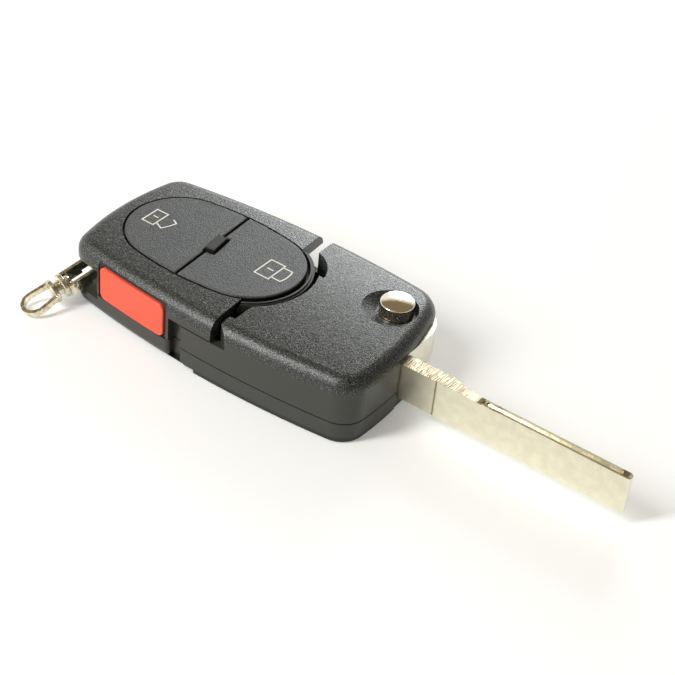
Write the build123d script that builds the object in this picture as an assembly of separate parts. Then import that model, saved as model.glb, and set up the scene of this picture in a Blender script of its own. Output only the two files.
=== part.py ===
from build123d import *
import math
import os

# Car remote key with a blade that folds out of its key head.
# Two units clip together end to end. The key head holds the blade, its die-cast hub, the sprung
# release button and the transponder. The remote unit holds two big buttons in an oval pad, a
# light window between them, a red alarm button in the flank, the circuit board, the coin battery
# and a post in its corner for a swivelling ring link.
# Millimetres. The origin is on the resting face, under the blade's hinge axis. +X runs along
# the open blade to its tip, +Y to the side where the blade folds in, +Z up.

# Housing, both units together
HEIGHT = 15.0
WIDTH = 40.8
CENTRE_Y = -8.9
WIDEST_X = -24.0
SIDE_BOW_RADIUS = 223.0
HEAD_END_X = 9.05
HEAD_END_Y = -15.5
HEAD_END_RADIUS = 75.0
HEAD_FRONT_CORNER_RADIUS = 5.5
HEAD_BACK_CORNER_RADIUS = 8.0
REMOTE_END_X = -66.3
REMOTE_END_RADIUS = 60.0
REMOTE_CORNER_RADIUS = 5.5
TOP_EDGE_RADIUS = 3.0
HEAD_BOTTOM_RADIUS = 0.8
HEAD_FOOT_HEIGHT = 1.3
HEAD_FOOT_INSET = 0.2
HEAD_FOOT_START_X = -28.4
HEAD_FOOT_STEP = 1.2
REMOTE_BOTTOM_RADIUS = 2.2
WALL = 1.4
ROOF = 1.5
FLOOR = 1.5
PARTING_Z = 5.0
PARTING_GAP = 0.25
LIP_THICKNESS = 0.8
LIP_HEIGHT = 0.8
LIP_CLEARANCE = 0.1
HEAD_LIP_START_X = -16.9
HEAD_LIP_BACK_Y = -14.4
REMOTE_LIP_END_X = -24.1
REMOTE_LIP_FRONT_Y = -4.9

# Where the two units meet
REMOTE_FRONT_END_X = -24.3
REMOTE_BACK_END_X = -26.6
REMOTE_CORE_END_X = -26.6
REMOTE_LOWER_END_X = -35.2
HEAD_TOP_START_X = -22.9
EAR_CUT_LENGTH = 2.3
EAR_CUT_WIDTH = 1.7
EAR_NECK_X = -21.7
EAR_NECK_Y = -24.9
HEAD_LOWER_START_X = -31.8
TONGUE_WALL = 1.8
TONGUE_TOP_Z = 10.3
UNIT_GAP = 0.3
NOTCH_FLOOR_Z = 0.5
NOTCH_CORNER_RADIUS = 0.9
STOP_START_X = -25.0
STOP_END_X = -21.6
STOP_FRONT_Y = 4.4
STOP_BACK_Y = 5.9
STOP_TOP_Z = 10.0

# Oval pad
OVAL_X = -40.3
OVAL_Y = -8.2
OVAL_LENGTH = 42.0
OVAL_WIDTH = 25.6
OVAL_CROWN = 0.8
OVAL_END_RADIUS = OVAL_WIDTH / 2 - OVAL_CROWN
PAD_GAP = 0.45
PAD_THICKNESS = 1.9
PAD_PROUD = 0.2
PAD_EDGE_RADIUS = 0.35
PAD_FLANGE = 0.6
PAD_FLANGE_THICKNESS = 0.8
PAD_TRAVEL = 0.4
DIVISION_X = -40.8
DIVISION_TILT = 3.2
DIVISION_GAP = 0.45
BEZEL_GAP = 0.7
BEZEL_WALL = 0.85
BEZEL_RIDGE = 0.4
BEZEL_SINK = 0.4
BEZEL_STEP = 0.35
BEZEL_FLOOR_Z = 9.6
BEZEL_FLOOR_THICKNESS = 1.0
HEAD_ARC_GAP = 1.45
HEAD_ARC_SHIFT = 0.35
LOCK_NOTCH_X = -25.5
LOCK_NOTCH_Y = -4.0
LOCK_NOTCH_RADIUS = 9.0
LOCK_NOTCH_EDGE_Y = -2.0

# Light window between the buttons
WINDOW_X = -40.3
WINDOW_Y = -7.8
WINDOW_TILT = 8.0
WINDOW_LENGTH = 5.3
WINDOW_WIDTH = 2.2
WINDOW_PROUD = 0.8
WINDOW_GAP = 0.3
WINDOW_NOTCH_LENGTH = 6.6

# Alarm button in the remote's flank
ALARM_START_X = -55.0
ALARM_LENGTH = 18.5
ALARM_LOW_Z = 5.0
ALARM_TOP_MARGIN = 2.1
ALARM_CORNER_RADIUS = 1.4
ALARM_THICKNESS = 1.6
ALARM_PROUD = 0.3
ALARM_TRAVEL = 0.6
ALARM_GAP = 0.25
ALARM_FLANGE = 0.4
ALARM_FLANGE_THICKNESS = 0.6
ALARM_FRAME_WIDTH = 0.65
ALARM_FRAME_DEPTH = 0.9
ALARM_FRAME_INSET = 0.25

# Corner pocket, its post and the swivelling ring link
POCKET_X = -56.2
POCKET_Y = -14.5
POCKET_LOW_Z = 3.0
POCKET_EDGE = 0.5
POCKET_HIGH_Z = 10.7
POCKET_WALL = 1.2
POST_X = -61.5
POST_Y = -19.7
POST_RADIUS = 1.3
POST_SEAT = 1.0
LINK_HEADING = -107.3
LINK_DROOP = 18.2
LINK_Z = 7.3
LINK_GAP = 0.3
LINK_HALF_WIDTH = 2.2
LINK_BAND = 0.8
LINK_BAND_HEIGHT = 2.1
LINK_CHEEK_DROP = 1.8
LINK_CHEEK_LENGTH = 5.0
LINK_COLLAR_AT = 10.4
COLLAR_RADIUS = 2.7
COLLAR_THICKNESS = 1.0
WASHER_RADIUS = 1.6
SWIVEL_GAP = 0.1
SWIVEL_PIN_RADIUS = 0.75
SWIVEL_HEAD_RADIUS = 1.5
SWIVEL_HEAD_HEIGHT = 1.3
END_LOOP_AT = 12.8
END_LOOP_LENGTH = 7.1
END_LOOP_HALF_WIDTH = 2.8
END_LOOP_ROOT_HALF_WIDTH = 2.4
END_LOOP_BAND_HEIGHT = 1.3
END_LOOP_BEND = 3.0

# Blade, in the open position
BLADE_NEAR_Y = -10.9
BLADE_ROOT_X = 8.5
BLADE_TIP_X = 59.3
BLADE_LOW_Z = 2.8
BLADE_HEIGHT = 8.9
BLADE_BASE_THICKNESS = 3.5
BLADE_THICKNESS = 2.0
BLADE_BASE_END_X = 17.8
BLADE_RAMP_END_X = 26.2
BLADE_TIP_RADIUS = 0.85
BLADE_LOW_CHAMFER = 0.45
BLADE_SHOULDER_X = 17.0
BLADE_SHOULDER_WIDTH = 0.8
BLADE_SHOULDER_DEPTH = 0.2
BLADE_GROOVE_START_X = 27.0
BLADE_GROOVE_END_X = 57.8
BLADE_GROOVE_WIDTH = 0.9
BLADE_GROOVE_DEPTH = 0.5
BLADE_PIT_RADIUS = 0.62
BLADE_PIT_DEPTH = 1.5
TANG_THICKNESS = 2.0
TANG_HEIGHT = 6.4
TANG_START_X = -0.8

# Hub of the blade
HUB_RADIUS = 8.4
HUB_LOW_Z = 2.7
HUB_HIGH_Z = 11.9
HUB_EDGE_RADIUS = 3.0
HUB_COLLAR_RADIUS = 5.4
HUB_COLLAR_HEIGHT = 0.9
HUB_CLEARANCE = 0.3
BAY_CLEARANCE = 0.6
BEARING_CLEARANCE = 0.05
SHANK_START_X = -1.5
SHANK_FAR_Y = -6.4
PIVOT_RADIUS = 2.0
PIVOT_TOP_Z = 4.6
HUB_WEB_LOW_Z = 4.8
HUB_WEB_HIGH_Z = 5.6
SPRING_BORE_RADIUS = 3.95
FLANGE_BORE_RADIUS = 4.65
ROLL_PIN_RADIUS = 0.8
ROLL_PIN_BORE_RADIUS = 0.35
ROLL_PIN_X = 4.6
BAY_WALL = 1.2
CORNER_FLOOR_RADIUS = 6.5

# Release button and its spring
BUTTON_RADIUS = 3.57
BUTTON_PROUD = 1.4
BUTTON_CROWN = 0.35
BUTTON_EDGE_RADIUS = 0.25
BUTTON_CLEARANCE = 0.13
BUTTON_FLANGE_RADIUS = 4.5
BUTTON_SEAT_GAP = 0.1
BUTTON_FLANGE_THICKNESS = 1.2
BUTTON_HOLLOW_RADIUS = 2.4
BUTTON_TRAVEL = 1.6
SPRING_WIRE = 0.6
SPRING_COIL_RADIUS = 3.1
SPRING_TURNS = 4.5
SPRING_SEAT_GAP = 0.05
DISH_DEPTH = 1.4
DISH_FLOOR_RADIUS = 4.1
DISH_RIM_RADIUS = 5.9
DISH_SHIFT_X = -0.9
DISH_SHIFT_Y = -1.1

# Inside the key head
TRANSPONDER_X = -8.0
TRANSPONDER_Y = -18.2
TRANSPONDER_LENGTH = 12.0
TRANSPONDER_WIDTH = 6.0
TRANSPONDER_HEIGHT = 3.0
CRADLE_WALL = 1.0
CRADLE_HEIGHT = 2.2
CRADLE_CLEARANCE = 0.1
REAR_SCREW_X = -18.2
REAR_SCREW_INSET = 4.7
FRONT_SCREW_X = 1.6
FRONT_SCREW_INSET = 8.9
SCREW_HEAD_RADIUS = 1.9
SCREW_HEAD_HEIGHT = 1.1
SCREW_SHANK_RADIUS = 0.9
SCREW_LENGTH = 7.5
SCREW_SINK = 0.2
SCREW_DRIVE_WIDTH = 0.5
SCREW_DRIVE_LENGTH = 2.2
SCREW_DRIVE_DEPTH = 0.6
SCREW_CLEARANCE = 0.15
BOSS_RADIUS = 2.6
RAIL_OFFSET_Y = 10.0
RAIL_THICKNESS = 1.4
RAIL_HIGH_Z = 5.7
RAIL_CLEARANCE = 0.1
RAIL_LENGTH = 8.0

# Inside the remote unit
BOARD_Z = 7.4
BOARD_THICKNESS = 0.8
BOARD_CLEARANCE = 0.4
SWITCH_SIZE = 4.4
SWITCH_HEIGHT = 1.1
SWITCH_DOME_RADIUS = 1.2
SWITCH_DOME_HEIGHT = 0.4
SWITCH_GAP = 0.25
UNLOCK_SWITCH_X = -51.5
LOCK_SWITCH_X = -30.8
PLUNGER_RADIUS = 1.5
ALARM_SWITCH_X = -45.3
ALARM_PLUNGER_RADIUS = 1.0
ALARM_NOSE_RADIUS = 0.9
ALARM_NOSE_LENGTH = 0.4
ALARM_SWITCH_DEPTH = 1.8
ALARM_SWITCH_INSET = 3.0
ALARM_SWITCH_WIDTH = 5.0
ALARM_SWITCH_HEIGHT = 2.4
LED_WIDTH = 1.6
LED_LENGTH = 3.2
LED_HEIGHT = 0.9
CHIP_X = -39.5
CHIP_Y = -12.5
CHIP_LENGTH = 5.0
CHIP_WIDTH = 4.0
CHIP_HEIGHT = 0.9
CHIP_LEADS = 5
CHIP_LEAD_WIDTH = 0.35
CRYSTAL_X = -34.5
CRYSTAL_Y = -16.5
CRYSTAL_LENGTH = 5.0
CRYSTAL_WIDTH = 3.2
CRYSTAL_HEIGHT = 1.0
BATTERY_X = -46.5
BATTERY_Y = -6.5
BATTERY_RADIUS = 8.0
BATTERY_HEIGHT = 2.0
BATTERY_LOW_Z = 2.3
BATTERY_RIM = 0.6
BATTERY_STEP = 0.4
CONTACT_THICKNESS = 0.3
CONTACT_WIDTH = 4.0
CONTACT_OVERHANG = 1.6
BATTERY_WALL = 1.0
BATTERY_CLEARANCE = 0.2
CORNER_POST_X = -60.2
CORNER_POST_INSET = 8.1
FLANK_POST_X = -38.0
FLANK_POST_INSET = 4.7
BOARD_POST_RADIUS = 1.3

# Folded blade slot along the back of both units
SLOT_LOW_Z = 2.4
SLOT_HIGH_Z = 12.2
HEAD_SLOT_Y = 6.1
REMOTE_SLOT_Y = 8.3
REMOTE_END_SLOT_Y = 5.0
MOUTH_GAP = 0.3
FAR = 100.0


def block(x0, x1, y0, y1, z0, z1):
    """Box given by its limits."""
    box = Box(x1 - x0, y1 - y0, z1 - z0)
    return Pos((x0 + x1) / 2, (y0 + y1) / 2, (z0 + z1) / 2) * box


def patch(x0, x1, y0, y1):
    """Flat rectangle given by its limits."""
    return Pos((x0 + x1) / 2, (y0 + y1) / 2) * Rectangle(x1 - x0, y1 - y0)


def slab(face, z0, z1):
    """Plan face raised into a solid between two heights."""
    return extrude(Pos(0, 0, z0) * face, z1 - z0)


def disc(x, y, radius):
    return Pos(x, y) * Circle(radius)


def rod(x, y, radius, z0, z1):
    return slab(disc(x, y, radius), z0, z1)


def plan(inset=0.0):
    """Plan outline of the housing: two bowed sides, two bowed ends and rounded corners."""
    half = WIDTH / 2 - inset
    side = SIDE_BOW_RADIUS - inset
    sides = disc(WIDEST_X, CENTRE_Y + half - side, side) & disc(WIDEST_X, CENTRE_Y - half + side, side)
    head_end = disc(HEAD_END_X - HEAD_END_RADIUS, HEAD_END_Y, HEAD_END_RADIUS - inset)
    remote_end = disc(REMOTE_END_X + REMOTE_END_RADIUS, CENTRE_Y, REMOTE_END_RADIUS - inset)
    head_half = sides & head_end & patch(WIDEST_X, FAR, -FAR, FAR)
    remote_half = sides & remote_end & patch(-FAR, WIDEST_X, -FAR, FAR)
    head_corners = [v for v in head_half.vertices() if v.X > WIDEST_X + 1]
    head_corners = sorted(head_corners, key=lambda v: v.Y)
    remote_corners = [v for v in remote_half.vertices() if v.X < WIDEST_X - 1]
    head_half = fillet(head_corners[0], HEAD_FRONT_CORNER_RADIUS - inset)
    back_corner = head_half.vertices().sort_by_distance(head_corners[1])[0]
    head_half = fillet(back_corner, HEAD_BACK_CORNER_RADIUS - inset)
    remote_half = fillet(remote_corners, REMOTE_CORNER_RADIUS - inset)
    return head_half + remote_half


def oval(grow=0.0):
    """Outline of the pad from four tangent arcs, widened all round by grow."""
    end_x = OVAL_LENGTH / 2 - OVAL_END_RADIUS
    end_radius = OVAL_END_RADIUS + grow
    half = OVAL_WIDTH / 2 + grow
    side_radius = (end_x**2 + half**2 - end_radius**2) / (2 * (half - end_radius))
    drop = side_radius - half
    reach = math.hypot(end_x, drop)
    tangent_x = end_x * side_radius / reach
    tangent_y = drop * side_radius / reach - drop
    tip_x = end_x + end_radius
    arcs = [
        ThreePointArc((-tangent_x, tangent_y), (0, half), (tangent_x, tangent_y)),
        ThreePointArc((tangent_x, tangent_y), (tip_x, 0), (tangent_x, -tangent_y)),
        ThreePointArc((tangent_x, -tangent_y), (0, -half), (-tangent_x, -tangent_y)),
        ThreePointArc((-tangent_x, -tangent_y), (-tip_x, 0), (-tangent_x, tangent_y)),
    ]
    return Pos(OVAL_X, OVAL_Y) * make_face(arcs)


def outer(bottom_radius):
    """The whole housing as one solid, with its rounded top edge and a rounded bottom edge."""
    body = slab(plan(), 0, HEIGHT)
    body = fillet(body.edges().group_by(Axis.Z)[-1], TOP_EDGE_RADIUS)
    return fillet(body.edges().group_by(Axis.Z)[0], bottom_radius)


def flank_y(x):
    """Y of the bowed front flank at x."""
    bow = SIDE_BOW_RADIUS - math.sqrt(SIDE_BOW_RADIUS**2 - (x - WIDEST_X) ** 2)
    return CENTRE_Y - WIDTH / 2 + bow


def bay(grow=0.0):
    """Plan of the space that the hub and the blade sweep from open to folded, widened by grow."""
    hub = disc(0, 0, HUB_RADIUS + BAY_CLEARANCE + grow)
    mouth = patch(SHANK_START_X - MOUTH_GAP - grow, FAR, BLADE_NEAR_Y - MOUTH_GAP - grow, FAR)
    turned_shank = patch(-HUB_RADIUS - BAY_CLEARANCE - grow, 0, 0, FAR)
    fold = patch(-FAR, 0, HEAD_SLOT_Y - grow, FAR)
    return hub + mouth + turned_shank + fold


def head_plan(inset=0.0):
    """Plan of the key head's upper part, cut back in an arc round the remote's oval end."""
    arc = Pos(-HEAD_ARC_SHIFT, 0) * oval(BEZEL_GAP + BEZEL_WALL + HEAD_ARC_GAP + inset)
    zone = plan(inset) & patch(HEAD_TOP_START_X + inset, FAR, -FAR, FAR)
    notch = disc(LOCK_NOTCH_X, LOCK_NOTCH_Y, LOCK_NOTCH_RADIUS + inset)
    notch = notch & patch(-FAR, FAR, LOCK_NOTCH_EDGE_Y - inset, FAR)
    neck = patch(-FAR, EAR_NECK_X + inset, EAR_NECK_Y - inset, CENTRE_Y)
    return zone - arc - notch - neck


def ear_cut():
    """Small corner taken off the head's ear at the front flank."""
    front = CENTRE_Y - WIDTH / 2
    start_x = HEAD_TOP_START_X
    corners = [(start_x, front + EAR_CUT_WIDTH), (start_x + EAR_CUT_LENGTH, front),
               (start_x + EAR_CUT_LENGTH, front - 1), (start_x - 1, front - 1),
               (start_x - 1, front + EAR_CUT_WIDTH)]
    return make_face(Polyline(*corners, close=True))


def remote_core(inset=0.0):
    """Plan of the remote's body below its cover, clear of the head's tongue and of the slot."""
    front = CENTRE_Y - WIDTH / 2 + TONGUE_WALL + UNIT_GAP
    wide = plan(inset) & patch(-FAR, REMOTE_LOWER_END_X - inset, -FAR, REMOTE_SLOT_Y - inset)
    narrow = patch(REMOTE_LOWER_END_X - inset - 1, REMOTE_CORE_END_X - inset,
                   front + inset, REMOTE_END_SLOT_Y - inset)
    return wide + narrow


def remote_top_zone(grow=0.0):
    """Plan zone on the remote's side of its top's end, which slants a little across the key."""
    front = CENTRE_Y - WIDTH / 2
    back = CENTRE_Y + WIDTH / 2
    corners = [(-FAR, front), (REMOTE_FRONT_END_X + grow, front), (REMOTE_BACK_END_X + grow, back),
               (-FAR, back)]
    return make_face(Polyline(*corners, close=True))


def pocket(grow=0.0):
    """Plan of the corner pocket that holds the ring post."""
    return patch(-FAR, POCKET_X + grow, -FAR, POCKET_Y + grow)


def screw_spots():
    """Plan spots of the head's two screws, set in from the front flank."""
    front = CENTRE_Y - WIDTH / 2
    return [(REAR_SCREW_X, front + REAR_SCREW_INSET), (FRONT_SCREW_X, front + FRONT_SCREW_INSET)]


def board_posts():
    """Plan spots of the two posts that clamp the board, set in from the flanks."""
    return [(CORNER_POST_X, CENTRE_Y + WIDTH / 2 - CORNER_POST_INSET),
            (FLANK_POST_X, CENTRE_Y - WIDTH / 2 + FLANK_POST_INSET)]


def screw_bosses(z0, z1, radius):
    bosses = [rod(x, y, radius, z0, z1) for x, y in screw_spots()]
    return bosses[0] + bosses[1]


def head_top_shell(body):
    """Upper shell of the key head with the side tongue, the hub bay and the button hole."""
    shell = body & slab(head_plan(), PARTING_Z, HEIGHT)
    shell -= slab(head_plan(WALL), 0, HEIGHT - ROOF)
    bay_space = slab(bay(), 0, SLOT_HIGH_Z)
    bay_wall = slab((bay(BAY_WALL) - bay()) & head_plan(WALL / 2), PARTING_Z, HEIGHT - ROOF / 2)
    bay_roof = slab(bay(BAY_WALL) & head_plan(WALL / 2), SLOT_HIGH_Z, HEIGHT - ROOF / 2)
    shell = (shell - bay_space) + bay_wall + bay_roof
    shell -= slab(ear_cut(), 0, HEIGHT)
    tongue_plan = (plan() - plan(TONGUE_WALL)) & patch(
        HEAD_LOWER_START_X, HEAD_TOP_START_X + EAR_CUT_LENGTH + WALL, -FAR, CENTRE_Y)
    shell += slab(tongue_plan, PARTING_Z, TONGUE_TOP_Z)
    shell += block(STOP_START_X, STOP_END_X, STOP_FRONT_Y, STOP_BACK_Y, PARTING_Z, STOP_TOP_Z)
    shell += screw_bosses(PARTING_Z - PARTING_GAP, HEIGHT - ROOF / 2, BOSS_RADIUS)
    screw_bore = SCREW_SHANK_RADIUS + BEARING_CLEARANCE
    shell -= screw_bosses(PARTING_Z - 1, SCREW_SINK + SCREW_LENGTH + 0.5, screw_bore)
    shell &= body
    collar_radius = HUB_COLLAR_RADIUS + BEARING_CLEARANCE
    shell -= rod(0, 0, collar_radius, SLOT_HIGH_Z - 1, collar_room_z())
    shell -= rod(0, 0, BUTTON_RADIUS + BUTTON_CLEARANCE, SLOT_HIGH_Z, HEIGHT + 1)
    dish_floor = Pos(0, 0, HEIGHT - DISH_DEPTH) * Circle(DISH_FLOOR_RADIUS)
    dish_rim = Pos(DISH_SHIFT_X, DISH_SHIFT_Y, HEIGHT + 0.01) * Circle(DISH_RIM_RADIUS)
    shell -= loft([dish_floor, dish_rim])
    return shell


def head_lower_shell(body):
    """Lower shell of the key head with the hub pivot, screw holes, cradle and guide rails."""
    top = PARTING_Z - PARTING_GAP
    zone = plan() & patch(HEAD_LOWER_START_X, FAR, -FAR, FAR)
    hollow = plan(WALL) & patch(HEAD_LOWER_START_X + WALL, FAR, -FAR, FAR)
    shell = (body & slab(zone, 0, top)) - slab(hollow, FLOOR, HEIGHT)
    lip_zone = head_plan(WALL + LIP_CLEARANCE) - head_plan(WALL + LIP_CLEARANCE + LIP_THICKNESS)
    lip_zone = lip_zone & patch(HEAD_LIP_START_X, FAR, -FAR, HEAD_LIP_BACK_Y)
    shell += slab(lip_zone, FLOOR / 2, PARTING_Z + LIP_HEIGHT)
    wall_plan = (bay(BAY_WALL) - bay()) & hollow & patch(HEAD_TOP_START_X + WALL, FAR, -FAR, FAR)
    shell += slab(wall_plan, FLOOR / 2, top)
    shell -= slab(bay(), SLOT_LOW_Z, HEIGHT)
    shell += rod(0, 0, PIVOT_RADIUS, FLOOR / 2, PIVOT_TOP_Z)
    shell += rod(0, 0, CORNER_FLOOR_RADIUS, 0, SLOT_LOW_Z)
    shell -= slab(open_corner(), -1, SLOT_LOW_Z + 1)
    shell += screw_bosses(0, top, BOSS_RADIUS)
    shell -= screw_bosses(-1, SCREW_SINK + SCREW_HEAD_HEIGHT, SCREW_HEAD_RADIUS + SCREW_CLEARANCE)
    shell -= screw_bosses(-1, HEIGHT, SCREW_SHANK_RADIUS + SCREW_CLEARANCE)
    shell -= foot_cut()
    shell += transponder_cradle()
    return shell + head_rails(0)


def foot_cut():
    """Rim taken off the head's foot, which also starts a little after the shell's end."""
    rim = slab(plan(-1) - plan(HEAD_FOOT_INSET), -1, HEAD_FOOT_HEIGHT)
    step_y = CENTRE_Y - WIDTH / 2 + HEAD_FOOT_STEP
    return rim + block(HEAD_LOWER_START_X - 1, HEAD_FOOT_START_X, -FAR, step_y, -1, HEAD_FOOT_HEIGHT)


def head_rails(grow):
    """Two rails on the head's platform that guide the remote's floor, widened by grow."""
    start_x = HEAD_LOWER_START_X - grow
    half = RAIL_THICKNESS / 2 + grow
    high_z = RAIL_HIGH_Z + grow
    low = block(start_x, start_x + RAIL_LENGTH + 2 * grow, -half, half, FLOOR / 2, high_z)
    return Pos(0, CENTRE_Y - RAIL_OFFSET_Y) * low + Pos(0, CENTRE_Y + RAIL_OFFSET_Y) * low


def open_corner():
    """Plan of the corner where the floor is cut back round the hub."""
    mouth_y = BLADE_NEAR_Y - MOUTH_GAP
    floor_parts = [
        disc(0, 0, CORNER_FLOOR_RADIUS),
        patch(-CORNER_FLOOR_RADIUS, HUB_RADIUS, mouth_y - 1, BLADE_NEAR_Y + BLADE_BASE_THICKNESS),
        patch(-2 * CORNER_FLOOR_RADIUS, -HUB_RADIUS, mouth_y - 1, WIDTH / 2 + CENTRE_Y),
    ]
    kept = make_hull([edge for piece in floor_parts for edge in piece.edges()])
    return patch(-HUB_RADIUS, FAR, mouth_y, FAR) - kept


def transponder_cradle():
    """Open box of low walls that holds the transponder."""
    length = TRANSPONDER_LENGTH + 2 * CRADLE_CLEARANCE
    width = TRANSPONDER_WIDTH + 2 * CRADLE_CLEARANCE
    spot = Pos(TRANSPONDER_X, TRANSPONDER_Y)
    rim = spot * (Rectangle(length + 2 * CRADLE_WALL, width + 2 * CRADLE_WALL) - Rectangle(length, width))
    return slab(rim, FLOOR / 2, FLOOR + CRADLE_HEIGHT)


def transponder():
    brick = Box(TRANSPONDER_LENGTH, TRANSPONDER_WIDTH, TRANSPONDER_HEIGHT)
    brick = chamfer(brick.edges().filter_by(Axis.Z), 0.8)
    return Pos(TRANSPONDER_X, TRANSPONDER_Y, FLOOR + TRANSPONDER_HEIGHT / 2) * brick


def head_screws():
    """Two screws driven from below, each with a cross recess."""
    screws = []
    for x, y in screw_spots():
        screw = rod(x, y, SCREW_HEAD_RADIUS, SCREW_SINK, SCREW_SINK + SCREW_HEAD_HEIGHT)
        screw += rod(x, y, SCREW_SHANK_RADIUS, SCREW_SINK, SCREW_SINK + SCREW_LENGTH)
        drive = Rectangle(SCREW_DRIVE_LENGTH, SCREW_DRIVE_WIDTH)
        drive += Rectangle(SCREW_DRIVE_WIDTH, SCREW_DRIVE_LENGTH)
        screw -= slab(Pos(x, y) * drive, 0, SCREW_SINK + SCREW_DRIVE_DEPTH)
        screws.append(screw)
    return Compound(children=screws)


def blade_plan():
    """Blade seen from above: flat near face, thick base, ramp, thin outer part, rounded tip."""
    near = BLADE_NEAR_Y
    base_far = near + BLADE_BASE_THICKNESS
    far = near + BLADE_THICKNESS
    outline = [
        Line((BLADE_ROOT_X, near), (BLADE_TIP_X, near)),
        Line((BLADE_TIP_X, near), (BLADE_TIP_X, far)),
        Line((BLADE_TIP_X, far), (BLADE_RAMP_END_X, far)),
        Spline((BLADE_RAMP_END_X, far), (BLADE_BASE_END_X, base_far),
               tangents=[(-1, 0), (-1, 0)]),
        Line((BLADE_BASE_END_X, base_far), (BLADE_ROOT_X, base_far)),
        Line((BLADE_ROOT_X, base_far), (BLADE_ROOT_X, near)),
    ]
    face = make_face(outline)
    tip = [v for v in face.vertices() if v.X > BLADE_TIP_X - 0.01]
    return fillet(tip, BLADE_TIP_RADIUS)


def blade():
    """Blade blank with its stop line, its run-in groove along the top and the tang in the hub."""
    near = BLADE_NEAR_Y
    top = BLADE_LOW_Z + BLADE_HEIGHT
    body = slab(blade_plan(), BLADE_LOW_Z, top)
    low_edges = body.edges().filter_by(Axis.X).filter_by(
        lambda e: abs(e.center().Z - BLADE_LOW_Z) < 0.01 and abs(e.center().Y - near) < 0.01)
    body = chamfer(low_edges, BLADE_LOW_CHAMFER)
    body -= block(BLADE_SHOULDER_X, BLADE_SHOULDER_X + BLADE_SHOULDER_WIDTH,
                  near - 1, near + BLADE_SHOULDER_DEPTH, BLADE_LOW_Z - 1, top + 1)
    middle_y = near + BLADE_THICKNESS / 2
    length = BLADE_GROOVE_END_X - BLADE_GROOVE_START_X
    groove = Pos((BLADE_GROOVE_START_X + BLADE_GROOVE_END_X) / 2, middle_y) * SlotOverall(
        length, BLADE_GROOVE_WIDTH)
    body -= slab(groove, top - BLADE_GROOVE_DEPTH, top + 1)
    for x in (BLADE_GROOVE_START_X + BLADE_PIT_RADIUS, BLADE_GROOVE_END_X - BLADE_PIT_RADIUS):
        body -= rod(x, middle_y, BLADE_PIT_RADIUS, top - BLADE_PIT_DEPTH, top + 1)
    return body + tang() - roll_pin_bar(ROLL_PIN_RADIUS)


def tang(clearance=0.0):
    """Thinner end of the blade inside the hub's shank."""
    middle_y = BLADE_NEAR_Y + BLADE_BASE_THICKNESS / 2
    middle_z = BLADE_LOW_Z + BLADE_HEIGHT / 2
    half_y = TANG_THICKNESS / 2 + clearance
    half_z = TANG_HEIGHT / 2 + clearance
    return block(TANG_START_X - clearance, BLADE_ROOT_X, middle_y - half_y, middle_y + half_y,
                 middle_z - half_z, middle_z + half_z)


def roll_pin_bar(radius):
    """Bar across the shank, through the tang."""
    bar = Cylinder(radius, SHANK_FAR_Y - BLADE_NEAR_Y)
    middle_y = (SHANK_FAR_Y + BLADE_NEAR_Y) / 2
    return Pos(ROLL_PIN_X, middle_y, BLADE_LOW_Z + BLADE_HEIGHT / 2) * Rot(90, 0, 0) * bar


def blade_roll_pin():
    return roll_pin_bar(ROLL_PIN_RADIUS) - roll_pin_bar(ROLL_PIN_BORE_RADIUS)


def blade_hub():
    """Die-cast hub: a drum round the hinge axis, with a shank on one side that grips the tang."""
    drum = rod(0, 0, HUB_RADIUS, HUB_LOW_Z, HUB_HIGH_Z)
    drum = fillet(drum.edges().group_by(Axis.Z)[0], HUB_EDGE_RADIUS)
    front = block(0, HUB_RADIUS, SHANK_FAR_Y, 0, HUB_LOW_Z, HUB_HIGH_Z)
    front_edge = front.edges().filter_by(Axis.Y).group_by(Axis.Z)[0].sort_by(Axis.X)[-1]
    drum += fillet(front_edge, HUB_EDGE_RADIUS)
    shank = block(SHANK_START_X, HUB_RADIUS, BLADE_NEAR_Y, SHANK_FAR_Y, BLADE_LOW_Z, HUB_HIGH_Z)
    shank_corner = shank.edges().filter_by(Axis.Z).sort_by(Axis.Y)[:2].sort_by(Axis.X)[0]
    shank = fillet(shank_corner, 0.6)
    hub = drum + shank + rod(0, 0, HUB_COLLAR_RADIUS, HUB_HIGH_Z, HUB_HIGH_Z + HUB_COLLAR_HEIGHT)
    hub -= rod(0, 0, PIVOT_RADIUS + BEARING_CLEARANCE, 0, HUB_WEB_LOW_Z)
    hub -= rod(0, 0, SPRING_BORE_RADIUS, HUB_WEB_HIGH_Z, HEIGHT)
    hub -= rod(0, 0, FLANGE_BORE_RADIUS, flange_low_z() - BUTTON_TRAVEL - HUB_CLEARANCE, HEIGHT)
    return hub - tang() - roll_pin_bar(ROLL_PIN_RADIUS)


def collar_room_z():
    """Top of the room in the shell's roof that the hub's collar turns in."""
    return HUB_HIGH_Z + HUB_COLLAR_HEIGHT + HUB_CLEARANCE


def flange_low_z():
    """Underside of the button's flange, which the spring holds up against the shell's roof."""
    return collar_room_z() - BUTTON_SEAT_GAP - BUTTON_FLANGE_THICKNESS


def release_button():
    """Round push button with a domed top, a flange inside the hub and a hollow for the spring."""
    edge_z = HEIGHT + BUTTON_PROUD
    crown_z = edge_z + BUTTON_CROWN
    dome = (BUTTON_RADIUS**2 + BUTTON_CROWN**2) / (2 * BUTTON_CROWN)
    flange_low = flange_low_z()
    button = rod(0, 0, BUTTON_RADIUS, flange_low, crown_z)
    button &= Pos(0, 0, crown_z - dome) * Sphere(dome)
    rim = button.edges().filter_by(GeomType.CIRCLE).filter_by(
        lambda e: abs(e.center().Z - edge_z) < 0.01)
    button = fillet(rim, BUTTON_EDGE_RADIUS)
    button += rod(0, 0, BUTTON_FLANGE_RADIUS, flange_low, flange_low + BUTTON_FLANGE_THICKNESS)
    return button - rod(0, 0, BUTTON_HOLLOW_RADIUS, flange_low - 1, HEIGHT - ROOF)


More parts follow.
